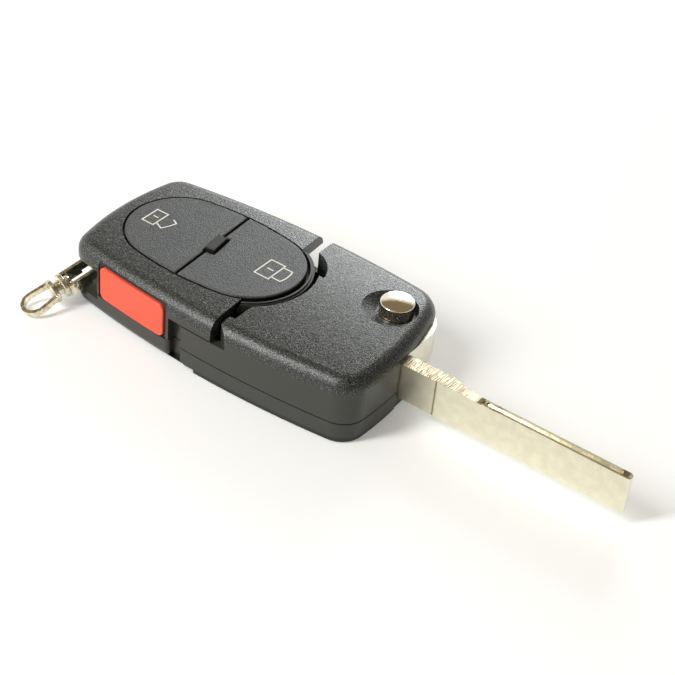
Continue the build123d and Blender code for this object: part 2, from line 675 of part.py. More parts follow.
def release_spring():
    """Coil spring between the hub's web and the button's flange."""
    low = HUB_WEB_HIGH_Z + SPRING_SEAT_GAP + SPRING_WIRE / 2
    high = flange_low_z() - SPRING_SEAT_GAP - SPRING_WIRE / 2
    pitch = (high - low) / SPRING_TURNS
    path = Pos(0, 0, low) * Helix(pitch, high - low, SPRING_COIL_RADIUS)
    start = path.edges()[0]
    section = Plane(start @ 0, z_dir=start % 0) * Circle(SPRING_WIRE / 2)
    return sweep(section, path=start)


def remote_top_cover(body):
    """Upper cover of the remote: oval opening, flank window, corner pocket and inner walls."""
    cap_low = TONGUE_TOP_Z + UNIT_GAP
    core = remote_core()
    core_hollow = remote_core(WALL)
    zone = slab(core, PARTING_Z, HEIGHT)
    zone += slab(plan() & remote_top_zone(), cap_low, HEIGHT)
    zone -= slab(patch(-FAR, FAR, REMOTE_SLOT_Y, FAR), 0, SLOT_HIGH_Z)
    zone -= slab(patch(REMOTE_LOWER_END_X, FAR, REMOTE_END_SLOT_Y, FAR), 0, SLOT_HIGH_Z)
    cover = body & zone
    cover -= slab(core_hollow, 0, HEIGHT - ROOF)
    cover += slab(core & patch(HEAD_LOWER_START_X, FAR, -FAR, FAR), PARTING_Z, PARTING_Z + WALL)
    cover -= head_rails(RAIL_CLEARANCE)
    cover -= slab(oval(PAD_GAP), HEIGHT - ROOF - 1, HEIGHT + 1)
    bezel_room = oval(BEZEL_GAP + BEZEL_WALL + UNIT_GAP)
    cover -= slab(bezel_room, BEZEL_FLOOR_Z - UNIT_GAP, HEIGHT - ROOF)
    pocket_walls = pocket(POCKET_WALL) & plan(WALL / 2)
    cover += slab(pocket_walls, PARTING_Z, POCKET_HIGH_Z + POCKET_WALL)
    cover -= slab(pocket(), 0, POCKET_HIGH_Z)
    cover -= alarm_window() + alarm_room()
    for x, y in board_posts():
        cover += rod(x, y, BOARD_POST_RADIUS, BOARD_Z + BOARD_THICKNESS, HEIGHT - ROOF / 2)
    return cover & body


def remote_lower_cover(body):
    """Battery cover of the remote: a tray with an inner lip, pocket floor and battery nest."""
    top = PARTING_Z - PARTING_GAP
    end_x = HEAD_LOWER_START_X - UNIT_GAP
    front = CENTRE_Y - WIDTH / 2 + TONGUE_WALL + UNIT_GAP
    zone = plan() & patch(-FAR, end_x, -FAR, FAR)
    hollow = plan(WALL) & patch(-FAR, REMOTE_LOWER_END_X - WALL, -FAR, REMOTE_SLOT_Y - WALL)
    tray = (body & slab(zone, 0, top)) - slab(hollow, FLOOR, HEIGHT)
    tray -= block(REMOTE_LOWER_END_X, end_x + 1, -FAR, front, NOTCH_FLOOR_Z, HEIGHT)
    notch_corner = tray.edges().filter_by(Axis.Z).filter_by(
        lambda e: abs(e.center().X - REMOTE_LOWER_END_X) < 0.01).sort_by(Axis.Y)[0]
    tray = fillet(notch_corner, NOTCH_CORNER_RADIUS)
    corner = pocket(POCKET_WALL)
    tray += slab(corner & plan(WALL / 2), FLOOR / 2, top)
    lip = hollow - plan(WALL + LIP_THICKNESS) - corner
    lip = lip & patch(-FAR, REMOTE_LIP_END_X, REMOTE_LIP_FRONT_Y, FAR)
    nest = disc(BATTERY_X, BATTERY_Y, BATTERY_RADIUS + BATTERY_CLEARANCE + BATTERY_WALL)
    nest -= disc(BATTERY_X, BATTERY_Y, BATTERY_RADIUS + BATTERY_CLEARANCE)
    nest -= patch(BATTERY_X - CONTACT_WIDTH, BATTERY_X + CONTACT_WIDTH, -FAR, FAR)
    tray += slab(nest & hollow, FLOOR / 2, BATTERY_LOW_Z + BATTERY_HEIGHT)
    tray -= slab(pocket(), POCKET_LOW_Z, HEIGHT)
    tray = chamfer(pocket_floor_edges(tray), POCKET_EDGE)
    tray -= slab(patch(-FAR, FAR, REMOTE_SLOT_Y, FAR), SLOT_LOW_Z, HEIGHT)
    tray += slab(lip, FLOOR / 2, PARTING_Z + LIP_HEIGHT) & slab(core_lip_zone(), 0, HEIGHT)
    for x, y in board_posts():
        tray += rod(x, y, BOARD_POST_RADIUS, FLOOR / 2, BOARD_Z)
    return tray


def pocket_floor_edges(tray):
    """Outer edges of the pocket's floor, over which the ring link hangs."""
    return tray.edges().filter_by(
        lambda e: abs(e.center().Z - POCKET_LOW_Z) < 0.01
        and e.center().X < POCKET_X - 0.1 and e.center().Y < POCKET_Y - 0.1)


def core_lip_zone():
    """Part of the plan in which the lower cover's lip stands behind the upper cover's wall."""
    return remote_core(WALL + LIP_CLEARANCE)


def flank_slice(x0, x1, z0, z1, radius):
    """Rounded panel through the front flank, for the alarm button and its frame."""
    panel = RectangleRounded(x1 - x0, z1 - z0, radius)
    panel = Plane.XZ * Pos((x0 + x1) / 2, (z0 + z1) / 2) * panel
    return extrude(panel, FAR / 2)


def flank_layer(outset, depth):
    """Skin that follows the bowed flank, from outset outside it to depth inside it."""
    return slab(plan(-outset) - plan(depth), 0, HEIGHT)


def alarm_high_z():
    """Top of the alarm button."""
    return HEIGHT - ALARM_TOP_MARGIN


def alarm_window():
    """Opening in the upper cover for the alarm button's frame."""
    edge = ALARM_FRAME_WIDTH
    x0 = ALARM_START_X - edge
    x1 = ALARM_START_X + ALARM_LENGTH + edge
    window = block(x0, x1, -FAR, CENTRE_Y, 0, alarm_high_z() + edge)
    return window & flank_layer(1, WALL + 0.1)


def alarm_room():
    """Space behind the frame in which the alarm button's flange travels."""
    edge = ALARM_FLANGE + ALARM_GAP
    reach = ALARM_FRAME_INSET + ALARM_FRAME_DEPTH + ALARM_FLANGE_THICKNESS
    room = block(ALARM_START_X - edge, ALARM_START_X + ALARM_LENGTH + edge, -FAR, CENTRE_Y,
                 PARTING_Z, HEIGHT - ROOF)
    return room & flank_layer(1, reach + ALARM_TRAVEL + 2 * ALARM_GAP)


def alarm_button():
    """Red push button that follows the bowed flank, with a flange behind the frame."""
    end_x = ALARM_START_X + ALARM_LENGTH
    cap = flank_slice(ALARM_START_X, end_x, ALARM_LOW_Z, alarm_high_z(), ALARM_CORNER_RADIUS)
    cap &= flank_layer(ALARM_PROUD, ALARM_THICKNESS)
    face_edges = cap.faces().sort_by(Axis.Y)[0].edges()
    cap = fillet(face_edges, 0.3)
    flange_start = ALARM_FRAME_DEPTH + ALARM_FRAME_INSET + ALARM_GAP
    flange = flank_slice(ALARM_START_X - ALARM_FLANGE, end_x + ALARM_FLANGE,
                         ALARM_LOW_Z, HEIGHT - ROOF - ALARM_GAP, ALARM_CORNER_RADIUS)
    flange &= flank_layer(-flange_start, flange_start + ALARM_FLANGE_THICKNESS)
    plunger_end = alarm_switch_front() - SWITCH_GAP - ALARM_TRAVEL
    plunger_start = flank_y(ALARM_SWITCH_X) + flange_start
    plunger = Rot(90, 0, 0) * Cylinder(ALARM_PLUNGER_RADIUS, plunger_end - plunger_start)
    plunger_y = (plunger_start + plunger_end) / 2
    return cap + flange + Pos(ALARM_SWITCH_X, plunger_y, alarm_switch_z()) * plunger


def alarm_button_frame():
    """Dark frame round the alarm button, set in the flank window."""
    edge = ALARM_FRAME_WIDTH
    gap = ALARM_GAP
    x0 = ALARM_START_X
    x1 = ALARM_START_X + ALARM_LENGTH
    z0 = ALARM_LOW_Z
    z1 = alarm_high_z()
    ring = block(x0 - edge, x1 + edge, -FAR, CENTRE_Y, PARTING_Z, z1 + edge)
    ring -= flank_slice(x0 - gap, x1 + gap, z0 - gap, z1 + gap, ALARM_CORNER_RADIUS + gap)
    return ring & flank_layer(-ALARM_FRAME_INSET, ALARM_FRAME_INSET + ALARM_FRAME_DEPTH)


def alarm_switch_z():
    return BOARD_Z + BOARD_THICKNESS + ALARM_SWITCH_HEIGHT / 2


def alarm_switch_front():
    """Y of the alarm switch's plunger face, near the board's front edge."""
    return flank_y(ALARM_SWITCH_X) + ALARM_SWITCH_INSET


def window_spot():
    """Place of the light window, turned a little against the key's length."""
    return Pos(WINDOW_X, WINDOW_Y) * Rot(0, 0, WINDOW_TILT)


def pad_half(x0, x1, grow):
    """Part of the oval between two limits counted from the slanting division line."""
    division = Pos(DIVISION_X, OVAL_Y) * Rot(0, 0, DIVISION_TILT)
    return oval(grow) & (division * patch(x0, x1, -FAR, FAR))


def pad_button(x0, x1, switch_x):
    """Big button: a raised plate with a softened edge, a hidden flange and a plunger."""
    top = HEIGHT + PAD_PROUD
    low = top - PAD_THICKNESS
    room = window_spot() * Rectangle(WINDOW_WIDTH + 2 * WINDOW_GAP, WINDOW_NOTCH_LENGTH)
    plate = slab(pad_half(x0, x1, 0) - room, low, top)
    plate = fillet(plate.edges().group_by(Axis.Z)[-1], PAD_EDGE_RADIUS)
    flange_top = HEIGHT - ROOF - SWITCH_GAP
    flange_low = flange_top - PAD_FLANGE_THICKNESS
    plate += slab(pad_half(x0, x1, PAD_FLANGE) - room, flange_low, flange_top)
    plate += slab(pad_half(x0, x1, 0) - room, flange_low, low + 0.1)
    tip = BOARD_Z + BOARD_THICKNESS + SWITCH_HEIGHT + SWITCH_DOME_HEIGHT + SWITCH_GAP + PAD_TRAVEL
    return plate + rod(switch_x, OVAL_Y, PLUNGER_RADIUS, tip, low + 0.1)


def unlock_button():
    return pad_button(-FAR, -DIVISION_GAP / 2, UNLOCK_SWITCH_X)


def lock_button():
    return pad_button(DIVISION_GAP / 2, FAR, LOCK_SWITCH_X)


def light_window():
    """Light pipe that stands up between the two buttons, over the lamp on the board."""
    top = HEIGHT + WINDOW_PROUD
    foot = BOARD_Z + BOARD_THICKNESS + LED_HEIGHT
    pipe = slab(window_spot() * Rectangle(WINDOW_WIDTH, WINDOW_LENGTH), foot, top)
    return fillet(pipe.edges().group_by(Axis.Z)[-1], 0.2)


def button_bezel():
    """Oval tray under the buttons, whose rim shows round the end that leaves the cover."""
    rim = oval(BEZEL_GAP + BEZEL_WALL) - oval(BEZEL_GAP)
    ridge = oval(BEZEL_GAP + BEZEL_RIDGE) - oval(BEZEL_GAP)
    shown = patch(-FAR, FAR, -FAR, FAR) - remote_top_zone(UNIT_GAP)
    top = HEIGHT - BEZEL_SINK
    hidden_top = HEIGHT - ROOF
    tray = slab(oval(BEZEL_GAP + BEZEL_WALL), BEZEL_FLOOR_Z, BEZEL_FLOOR_Z + BEZEL_FLOOR_THICKNESS)
    tray += slab(rim, BEZEL_FLOOR_Z, hidden_top)
    tray += slab(rim & shown, PARTING_Z + WALL, top - BEZEL_STEP)
    tray += slab(ridge & shown, PARTING_Z + WALL, top)
    tray += slab(oval(BEZEL_GAP + BEZEL_WALL) & shown, PARTING_Z + WALL, PARTING_Z + 2 * WALL)
    room = PLUNGER_RADIUS + PAD_GAP
    for x in (UNLOCK_SWITCH_X, LOCK_SWITCH_X):
        tray -= rod(x, OVAL_Y, room, 0, HEIGHT)
        tray -= rod(x, OVAL_Y, SWITCH_SIZE, 0, BEZEL_FLOOR_Z + 0.2)
    slot = Rectangle(WINDOW_WIDTH + PAD_GAP, WINDOW_LENGTH + PAD_GAP)
    tray -= slab(window_spot() * slot, 0, HEIGHT)
    half = ALARM_SWITCH_WIDTH / 2 + PAD_GAP
    back = alarm_switch_front() + ALARM_NOSE_LENGTH + ALARM_SWITCH_DEPTH + PAD_GAP
    tray -= block(ALARM_SWITCH_X - half, ALARM_SWITCH_X + half, -FAR, back, 0,
                  alarm_switch_z() + ALARM_SWITCH_HEIGHT / 2 + PAD_GAP)
    return tray - slab(pocket(POCKET_WALL + PAD_GAP), 0, POCKET_HIGH_Z + POCKET_WALL + PAD_GAP)


def circuit_board():
    """Board that follows the remote's plan, with a corner cut off for the ring pocket."""
    shape = remote_core(WALL + BOARD_CLEARANCE) - pocket(POCKET_WALL + BOARD_CLEARANCE)
    return slab(shape, BOARD_Z, BOARD_Z + BOARD_THICKNESS) - alarm_room()


def push_switch(x, y):
    """Square push switch with a round dome."""
    low = BOARD_Z + BOARD_THICKNESS
    half = SWITCH_SIZE / 2
    case = block(x - half, x + half, y - half, y + half, low, low + SWITCH_HEIGHT)
    case = chamfer(case.edges().filter_by(Axis.Z), 0.4)
    high = low + SWITCH_HEIGHT
    return case + rod(x, y, SWITCH_DOME_RADIUS, high, high + SWITCH_DOME_HEIGHT)


def unlock_switch():
    return push_switch(UNLOCK_SWITCH_X, OVAL_Y)


def lock_switch():
    return push_switch(LOCK_SWITCH_X, OVAL_Y)


def alarm_switch():
    """Side-acting push switch at the board's front edge."""
    front = alarm_switch_front()
    low = BOARD_Z + BOARD_THICKNESS
    half = ALARM_SWITCH_WIDTH / 2
    case_y = front + ALARM_NOSE_LENGTH
    case = block(ALARM_SWITCH_X - half, ALARM_SWITCH_X + half, case_y,
                 case_y + ALARM_SWITCH_DEPTH, low, low + ALARM_SWITCH_HEIGHT)
    nose = Rot(90, 0, 0) * Cylinder(ALARM_NOSE_RADIUS, 2 * ALARM_NOSE_LENGTH)
    return case + Pos(ALARM_SWITCH_X, case_y, alarm_switch_z()) * nose


def indicator_led():
    low = BOARD_Z + BOARD_THICKNESS
    return slab(window_spot() * Rectangle(LED_WIDTH, LED_LENGTH), low, low + LED_HEIGHT)


def control_chip():
    """Chip under the board with a row of leads along two sides."""
    high = BOARD_Z
    low = high - CHIP_HEIGHT
    spot = Pos(CHIP_X, CHIP_Y)
    chip = slab(spot * Rectangle(CHIP_LENGTH, CHIP_WIDTH), low, high - 0.1)
    leads = GridLocations(CHIP_LENGTH / CHIP_LEADS, 0, CHIP_LEADS, 1)
    pads = [spot * place * Rectangle(CHIP_LEAD_WIDTH, CHIP_WIDTH + 1.6) for place in leads]
    for pad in pads:
        chip += slab(pad, high - 0.3, high)
    return chip


def crystal():
    """Flat oval crystal can under the board."""
    low = BOARD_Z - CRYSTAL_HEIGHT
    can = slab(Pos(CRYSTAL_X, CRYSTAL_Y) * SlotOverall(CRYSTAL_LENGTH, CRYSTAL_WIDTH), low, BOARD_Z)
    return fillet(can.edges().group_by(Axis.Z)[0], 0.3)


def coin_battery():
    """Coin cell: a can with a smaller stepped base."""
    high = BATTERY_LOW_Z + BATTERY_HEIGHT
    can = rod(BATTERY_X, BATTERY_Y, BATTERY_RADIUS, BATTERY_LOW_Z + BATTERY_STEP, high)
    can = fillet(can.edges().group_by(Axis.Z)[-1], 0.3)
    base = BATTERY_RADIUS - BATTERY_RIM
    return can + rod(BATTERY_X, BATTERY_Y, base, BATTERY_LOW_Z, BATTERY_LOW_Z + BATTERY_STEP + 0.1)


def contact_strip(low, side):
    """Bent strip: a flat tongue on the cell and an upright tail to the board, on one side."""
    half = CONTACT_WIDTH / 2
    reach = BATTERY_RADIUS + CONTACT_OVERHANG
    strip = block(-half, half, 0, reach, low, low + CONTACT_THICKNESS)
    strip += block(-half, half, reach - CONTACT_THICKNESS, reach, low, BOARD_Z)
    return Pos(BATTERY_X, BATTERY_Y) * Rot(0, 0, 90 * (1 - side)) * strip


def battery_contact_negative():
    return contact_strip(BATTERY_LOW_Z - CONTACT_THICKNESS, 1)


def battery_contact_positive():
    return contact_strip(BATTERY_LOW_Z + BATTERY_HEIGHT, -1)


def link_frame():
    """Frame of the ring link: origin on the post's axis, +X along the link, +Y across it."""
    return Pos(POST_X, POST_Y, LINK_Z) * Rot(0, 0, LINK_HEADING) * Rot(0, LINK_DROOP, 0)


def ring_link():
    """Band loop round the post, with wider cheeks and the collar that the swivel turns in."""
    inner = LINK_HALF_WIDTH - LINK_BAND / 2
    outer_half = LINK_HALF_WIDTH + LINK_BAND / 2
    droop = math.radians(LINK_DROOP)
    tilt_reach = LINK_BAND_HEIGHT / 2 * math.sin(droop)
    back = -(POST_RADIUS + LINK_GAP + tilt_reach) / math.cos(droop)
    collar_face = LINK_COLLAR_AT - COLLAR_THICKNESS
    inside = Pos(back + inner, 0) * Circle(inner)
    inside += patch(back + inner, collar_face, -inner, inner)
    outside = Pos(back + inner, 0) * Circle(outer_half)
    outside += patch(back + inner, collar_face, -outer_half, outer_half)
    half = LINK_BAND_HEIGHT / 2
    link = slab(outside - inside, -half, half)
    cheeks = patch(collar_face - LINK_CHEEK_LENGTH, collar_face, -outer_half, outer_half) - inside
    link += slab(cheeks, -LINK_CHEEK_DROP, half)
    link += collar(collar_face)
    link -= across(SWIVEL_PIN_RADIUS + SWIVEL_GAP, collar_face - 1, LINK_COLLAR_AT + 1)
    return link_frame() * link


def across(radius, x0, x1):
    """Cylinder along the link's own axis."""
    return Pos((x0 + x1) / 2, 0, 0) * Rot(0, 90, 0) * Cylinder(radius, x1 - x0)


def collar(x0):
    """Round collar plate with softened edges."""
    plate = across(COLLAR_RADIUS, x0, x0 + COLLAR_THICKNESS)
    return chamfer(plate.edges(), 0.15)


def swivel_rivet():
    """Rivet through both collars, with a round head inside the link."""
    start = LINK_COLLAR_AT - COLLAR_THICKNESS - SWIVEL_GAP
    rivet = across(SWIVEL_PIN_RADIUS, start, END_LOOP_AT)
    head = across(SWIVEL_HEAD_RADIUS, start - SWIVEL_HEAD_HEIGHT, start)
    head = fillet(head.edges().sort_by(Axis.X)[0], 0.6)
    return link_frame() * (rivet + head)


def swivel_washer():
    """Spacer between the two collars."""
    ring = across(WASHER_RADIUS, LINK_COLLAR_AT + SWIVEL_GAP, END_LOOP_AT - COLLAR_THICKNESS)
    ring -= across(SWIVEL_PIN_RADIUS, 0, FAR)
    return link_frame() * ring


def loop_outline(start_x, change):
    """Rounded end of the free loop with legs that close in towards its collar, grown by change."""
    belly = END_LOOP_HALF_WIDTH + change
    root = END_LOOP_ROOT_HALF_WIDTH + change
    centre_x = END_LOOP_LENGTH - END_LOOP_HALF_WIDTH - LINK_BAND / 2
    forms = [disc(centre_x, 0, belly), patch(start_x, 0.1, -root, root)]
    return make_hull([edge for form in forms for edge in form.edges()])


def end_loop():
    """Free loop that takes the key ring: a band bent a little down from its own collar."""
    outside = loop_outline(-COLLAR_THICKNESS / 2, LINK_BAND / 2)
    inside = loop_outline(0, -LINK_BAND / 2)
    half = END_LOOP_BAND_HEIGHT / 2
    band = Pos(END_LOOP_AT, 0, 0) * Rot(0, END_LOOP_BEND, 0) * slab(outside - inside, -half, half)
    loop = band + collar(END_LOOP_AT - COLLAR_THICKNESS)
    loop -= across(SWIVEL_PIN_RADIUS, 0, END_LOOP_AT)
    return link_frame() * loop


def ring_post():
    """Steel post that stands in the corner pocket, held in the floor and the roof."""
    return rod(POST_X, POST_Y, POST_RADIUS, POCKET_LOW_Z - POST_SEAT, POCKET_HIGH_Z + POST_SEAT)


def main():
    head = outer(HEAD_BOTTOM_RADIUS)
    remote = outer(REMOTE_BOTTOM_RADIUS)
    parts = {
        "head_top_shell": head_top_shell(head),
        "head_lower_shell": head_lower_shell(head),
        "transponder": transponder(),
        "head_screws": head_screws(),
        "blade": blade(),
        "blade_hub": blade_hub(),
        "blade_roll_pin": blade_roll_pin(),
        "release_button": release_button(),
        "release_spring": release_spring(),
        "remote_top_cover": remote_top_cover(remote) - ring_post(),
        "remote_lower_cover": remote_lower_cover(remote) - ring_post(),
        "button_bezel": button_bezel(),
        "unlock_button": unlock_button(),
        "lock_button": lock_button(),
        "light_window": light_window(),
        "alarm_button": alarm_button(),
        "alarm_button_frame": alarm_button_frame(),
        "circuit_board": circuit_board(),
        "unlock_switch": unlock_switch(),
        "lock_switch": lock_switch(),
        "alarm_switch": alarm_switch(),
        "indicator_led": indicator_led(),
        "control_chip": control_chip(),
        "crystal": crystal(),
        "coin_battery": coin_battery(),
        "battery_contact_negative": battery_contact_negative(),
        "battery_contact_positive": battery_contact_positive(),
        "ring_post": ring_post(),
        "ring_link": ring_link(),
        "swivel_rivet": swivel_rivet(),
        "swivel_washer": swivel_washer(),
        "end_loop": end_loop(),
    }
    os.makedirs("parts", exist_ok=True)
    for name, shape in parts.items():
        export_step(shape, f"parts/{name}.step")


main()
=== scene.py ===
import math

import bpy
import numpy as np
from bpy.props import FloatProperty, FloatVectorProperty, PointerProperty
from mathutils import Matrix, Vector


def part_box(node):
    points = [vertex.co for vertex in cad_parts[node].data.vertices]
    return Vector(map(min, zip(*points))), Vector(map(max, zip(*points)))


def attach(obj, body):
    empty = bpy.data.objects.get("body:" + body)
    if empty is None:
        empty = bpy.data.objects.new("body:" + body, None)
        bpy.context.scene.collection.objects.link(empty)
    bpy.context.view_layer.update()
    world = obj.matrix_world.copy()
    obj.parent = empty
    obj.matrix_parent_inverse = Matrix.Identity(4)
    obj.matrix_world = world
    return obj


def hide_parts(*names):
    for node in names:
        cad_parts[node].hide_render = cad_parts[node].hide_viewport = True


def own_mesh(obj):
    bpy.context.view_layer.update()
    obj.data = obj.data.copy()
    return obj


bl_info = {
    "name": "Car remote key looks",
    "version": (1, 0, 0),
    "blender": (4, 5, 0),
    "location": "3D View > Sidebar > Remote Key",
    "description": "Finishes, padlock marks, light and camera for the car remote key",
    "category": "Material",
}

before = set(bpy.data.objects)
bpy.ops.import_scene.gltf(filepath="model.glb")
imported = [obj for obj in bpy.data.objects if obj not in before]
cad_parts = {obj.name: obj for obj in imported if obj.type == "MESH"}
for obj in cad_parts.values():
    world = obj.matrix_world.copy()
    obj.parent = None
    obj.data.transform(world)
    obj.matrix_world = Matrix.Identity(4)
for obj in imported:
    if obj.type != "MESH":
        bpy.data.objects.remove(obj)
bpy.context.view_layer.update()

MM = 0.001
PAD_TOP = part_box("lock_button")[1].z
SHELL_LOW, SHELL_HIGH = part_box("remote_top_cover")
OVAL_LOW, OVAL_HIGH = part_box("button_bezel")
BLADE_LOW, BLADE_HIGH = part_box("blade")

# Noise levels between which one grain of the moulded texture rises.
GRAIN_RISE = (0.36, 0.66)
# Painted shade: dark colour on the walls on both sides of the gap round the big buttons.
GAP_SHADE = (0.004, 0.004, 0.004)


class Wire:
    """One output of a shader node. Arithmetic on wires and numbers adds Math nodes."""

    def __init__(self, tree, socket):
        self.tree = tree
        self.socket = socket

    def __add__(self, other):
        return self.tree.math("ADD", self, other)

    __radd__ = __add__

    def __sub__(self, other):
        return self.tree.math("SUBTRACT", self, other)

    def __rsub__(self, other):
        return self.tree.math("SUBTRACT", other, self)

    def __mul__(self, other):
        return self.tree.math("MULTIPLY", self, other)

    __rmul__ = __mul__

    def __truediv__(self, other):
        return self.tree.math("DIVIDE", self, other)

    def __rtruediv__(self, other):
        return self.tree.math("DIVIDE", other, self)

    def beside(self, name):
        """Another output of the same node."""
        return Wire(self.tree, self.socket.node.outputs[name])


class NodeTree:
    """A node tree that is built by expressions on its wires."""

    def __init__(self, tree):
        self.tree = tree
        tree.nodes.clear()

    def node(self, kind, settings=None, values=None, out=0):
        """Adds a node of one kind: its settings first, then the values or wires of its sockets."""
        node = self.tree.nodes.new(kind)
        for name, value in (settings or {}).items():
            setattr(node, name, value)
        for name, value in (values or {}).items():
            if isinstance(value, Wire):
                self.tree.links.new(value.socket, node.inputs[name])
            else:
                node.inputs[name].default_value = value
        return Wire(self, node.outputs[out]) if node.outputs else None

    def math(self, operation, a, b=0.0):
        """One Math node. An operation on a single value makes no use of b."""
        return self.node("ShaderNodeMath", {"operation": operation}, {0: a, 1: b})

    def most(self, first, *others):
        """The greatest of several wires."""
        for other in others:
            first = self.math("MAXIMUM", first, other)
        return first

    def mix(self, share, a, b):
        """Colour a where share is 0, colour b where it is 1."""
        values = {0: share, 6: a, 7: b}
        return self.node("ShaderNodeMix", {"data_type": "RGBA"}, values, out=2)

    def step(self, value, low, high):
        """Smooth step from 0 at low to 1 at high."""
        values = {"Value": value, "From Min": low, "From Max": high}
        return self.node("ShaderNodeMapRange", {"interpolation_type": "SMOOTHSTEP"}, values)

    def band(self, value, low, high, edge):
        """1 between low and high, 0 outside, with soft edges."""
        above_low = self.step(value, low - edge, low + edge)
        above_high = self.step(value, high - edge, high + edge)
        return above_low * (1 - above_high)

    def noise(self, place, size, detail=2.0, roughness=0.5):
        """Cloudy noise from 0 to 1, whose lumps are about size across."""
        values = {"Vector": place, "Scale": 1 / size, "Detail": detail, "Roughness": roughness}
        return self.node("ShaderNodeTexNoise", None, values)

    def stretched(self, place, scale):
        """Coordinates scaled along each axis, for streaks."""
        return self.node("ShaderNodeMapping", None, {"Vector": place, "Scale": scale})

    def place(self):
        """Object coordinates, in metres in the frame of the part."""
        return self.node("ShaderNodeTexCoord", None, None, out="Object")

    def axes(self, place):
        """The three numbers of a place, each as a wire."""
        x = self.node("ShaderNodeSeparateXYZ", None, {"Vector": place})
        return x, x.beside("Y"), x.beside("Z")

    def bump(self, height, depth, under=None):
        """Normal of a relief whose height runs from 0 to 1 over depth."""
        values = {"Height": height, "Distance": depth}
        if under is not None:
            values["Normal"] = under
        return self.node("ShaderNodeBump", None, values)


class Finish(NodeTree):
    """A material with one Principled shader, its constant values set on its own sockets."""

    def __init__(self, name, **constants):
        self.material = bpy.data.materials.new(name)
        self.material.use_nodes = True
        super().__init__(self.material.node_tree)
        self.shader = self.tree.nodes.new("ShaderNodeBsdfPrincipled")
        output = self.tree.nodes.new("ShaderNodeOutputMaterial")
        self.tree.links.new(self.shader.outputs[0], output.inputs["Surface"])
        for name, value in constants.items():
            self.shader.inputs[name.replace("_", " ")].default_value = value

    def feed(self, **wires):
        """Links wires to the shader's sockets of these names."""
        for name, wire in wires.items():
            self.tree.links.new(wire.socket, self.shader.inputs[name.replace("_", " ")])

    def onto(self, *nodes):
        """Puts the finish on CAD nodes, through their material slots, and gives its material."""
        for name in nodes:
            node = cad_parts[name]
            if not node.material_slots:
                raise RuntimeError(f"{name} has no material slot")
            for slot in node.material_slots:
                slot.material = self.material
        return self.material


def rgba(colour, light=1.0):
    """A colour as four numbers, made lighter or darker by a factor."""
    return tuple(min(1.0, c * light) for c in colour) + (1.0,)


def colour(name, description, default):
    """A colour that a user may change."""
    return FloatVectorProperty(name=name, description=description, subtype="COLOR", size=3,
                               min=0.0, max=1.0, default=default)


def length(name, description, default):
    """A length that a user may change, in metres."""
    return FloatProperty(name=name, description=description, unit="LENGTH", min=0.0,
                         precision=6, default=default)


class PlasticSettings(bpy.types.PropertyGroup):
    """Moulded shells, pads and trim"""

    shell_colour: colour("Shell", "Colour of the grained upper shells", (0.029, 0.032, 0.03))
    wall_colour: colour("Wall", "Colour of the smooth walls and lower shells", (0.034, 0.036, 0.03))
    trim_colour: colour("Trim", "Colour of the window and the red button's frame",
                        (0.011, 0.011, 0.01))
    pad_colour: colour("Pad", "Colour of the two big buttons", (0.052, 0.057, 0.057))
    red_colour: colour("Alarm button", "Colour of the red button in the flank", (0.95, 0.1, 0.048))
    shell_grain: length("Shell grain", "Width of one grain on the upper shells", 0.27 * MM)
    shell_grain_depth: length("Shell grain depth", "Height of the shells' grain", 0.03 * MM)
    pad_grain: length("Pad grain", "Width of one grain on the big buttons", 0.3 * MM)
    pad_grain_depth: length("Pad grain depth", "Height of the pads' grain", 0.03 * MM)
    smooth_below: length("Smooth below", "Height under which the walls have no grain", 11.6 * MM)


class MetalSettings(bpy.types.PropertyGroup):
    """Blade, hub, push button and ring link"""

    blade_colour: colour("Blade", "Nickel plating of the blade", (0.87, 0.83, 0.66))
    hub_colour: colour("Hub", "Satin nickel of the die-cast hub", (0.94, 0.92, 0.78))
    chrome_colour: colour("Release button", "Plating of the round button", (0.92, 0.84, 0.68))
    ring_colour: colour("Ring link", "Plating of the link and its swivel", (0.82, 0.78, 0.63))
    mottle: length("Mottling", "Width of the cloudy patches in the blade's plating", 2.2 * MM)
    file_pitch: length("File marks", "Distance between the marks on the blade's base", 0.42 * MM)
    spring_wire: length("Spring wire", "Thickness of the spring under the button", 0.6 * MM)
    spring_turns: FloatProperty(name="Spring turns", description="Turns of that spring", default=4.5)
    button_travel: length("Button travel", "How far the round button goes down", 1.6 * MM)


class InsideSettings(bpy.types.PropertyGroup):
    """What the shells hold"""

    board_colour: colour("Board", "Solder mask of the circuit board", (0.012, 0.11, 0.04))
    copper_colour: colour("Tracks", "Copper tracks under the mask", (0.03, 0.19, 0.06))
    brass_colour: colour("Contacts", "Plated contact strips", (0.72, 0.56, 0.3))
    chip_colour: colour("Chip", "Moulded chip and transponder", (0.014, 0.014, 0.015))


class MarkSettings(bpy.types.PropertyGroup):
    """Padlock marks on the two big buttons"""

    mark_colour: colour("Mark", "Cream filling of the padlock lines", (0.86, 0.84, 0.76))
    line_width: length("Line width", "Width of the padlock lines", 0.3 * MM)
    line_proud: length("Line height", "How far the filling stands above the pad", 0.02 * MM)


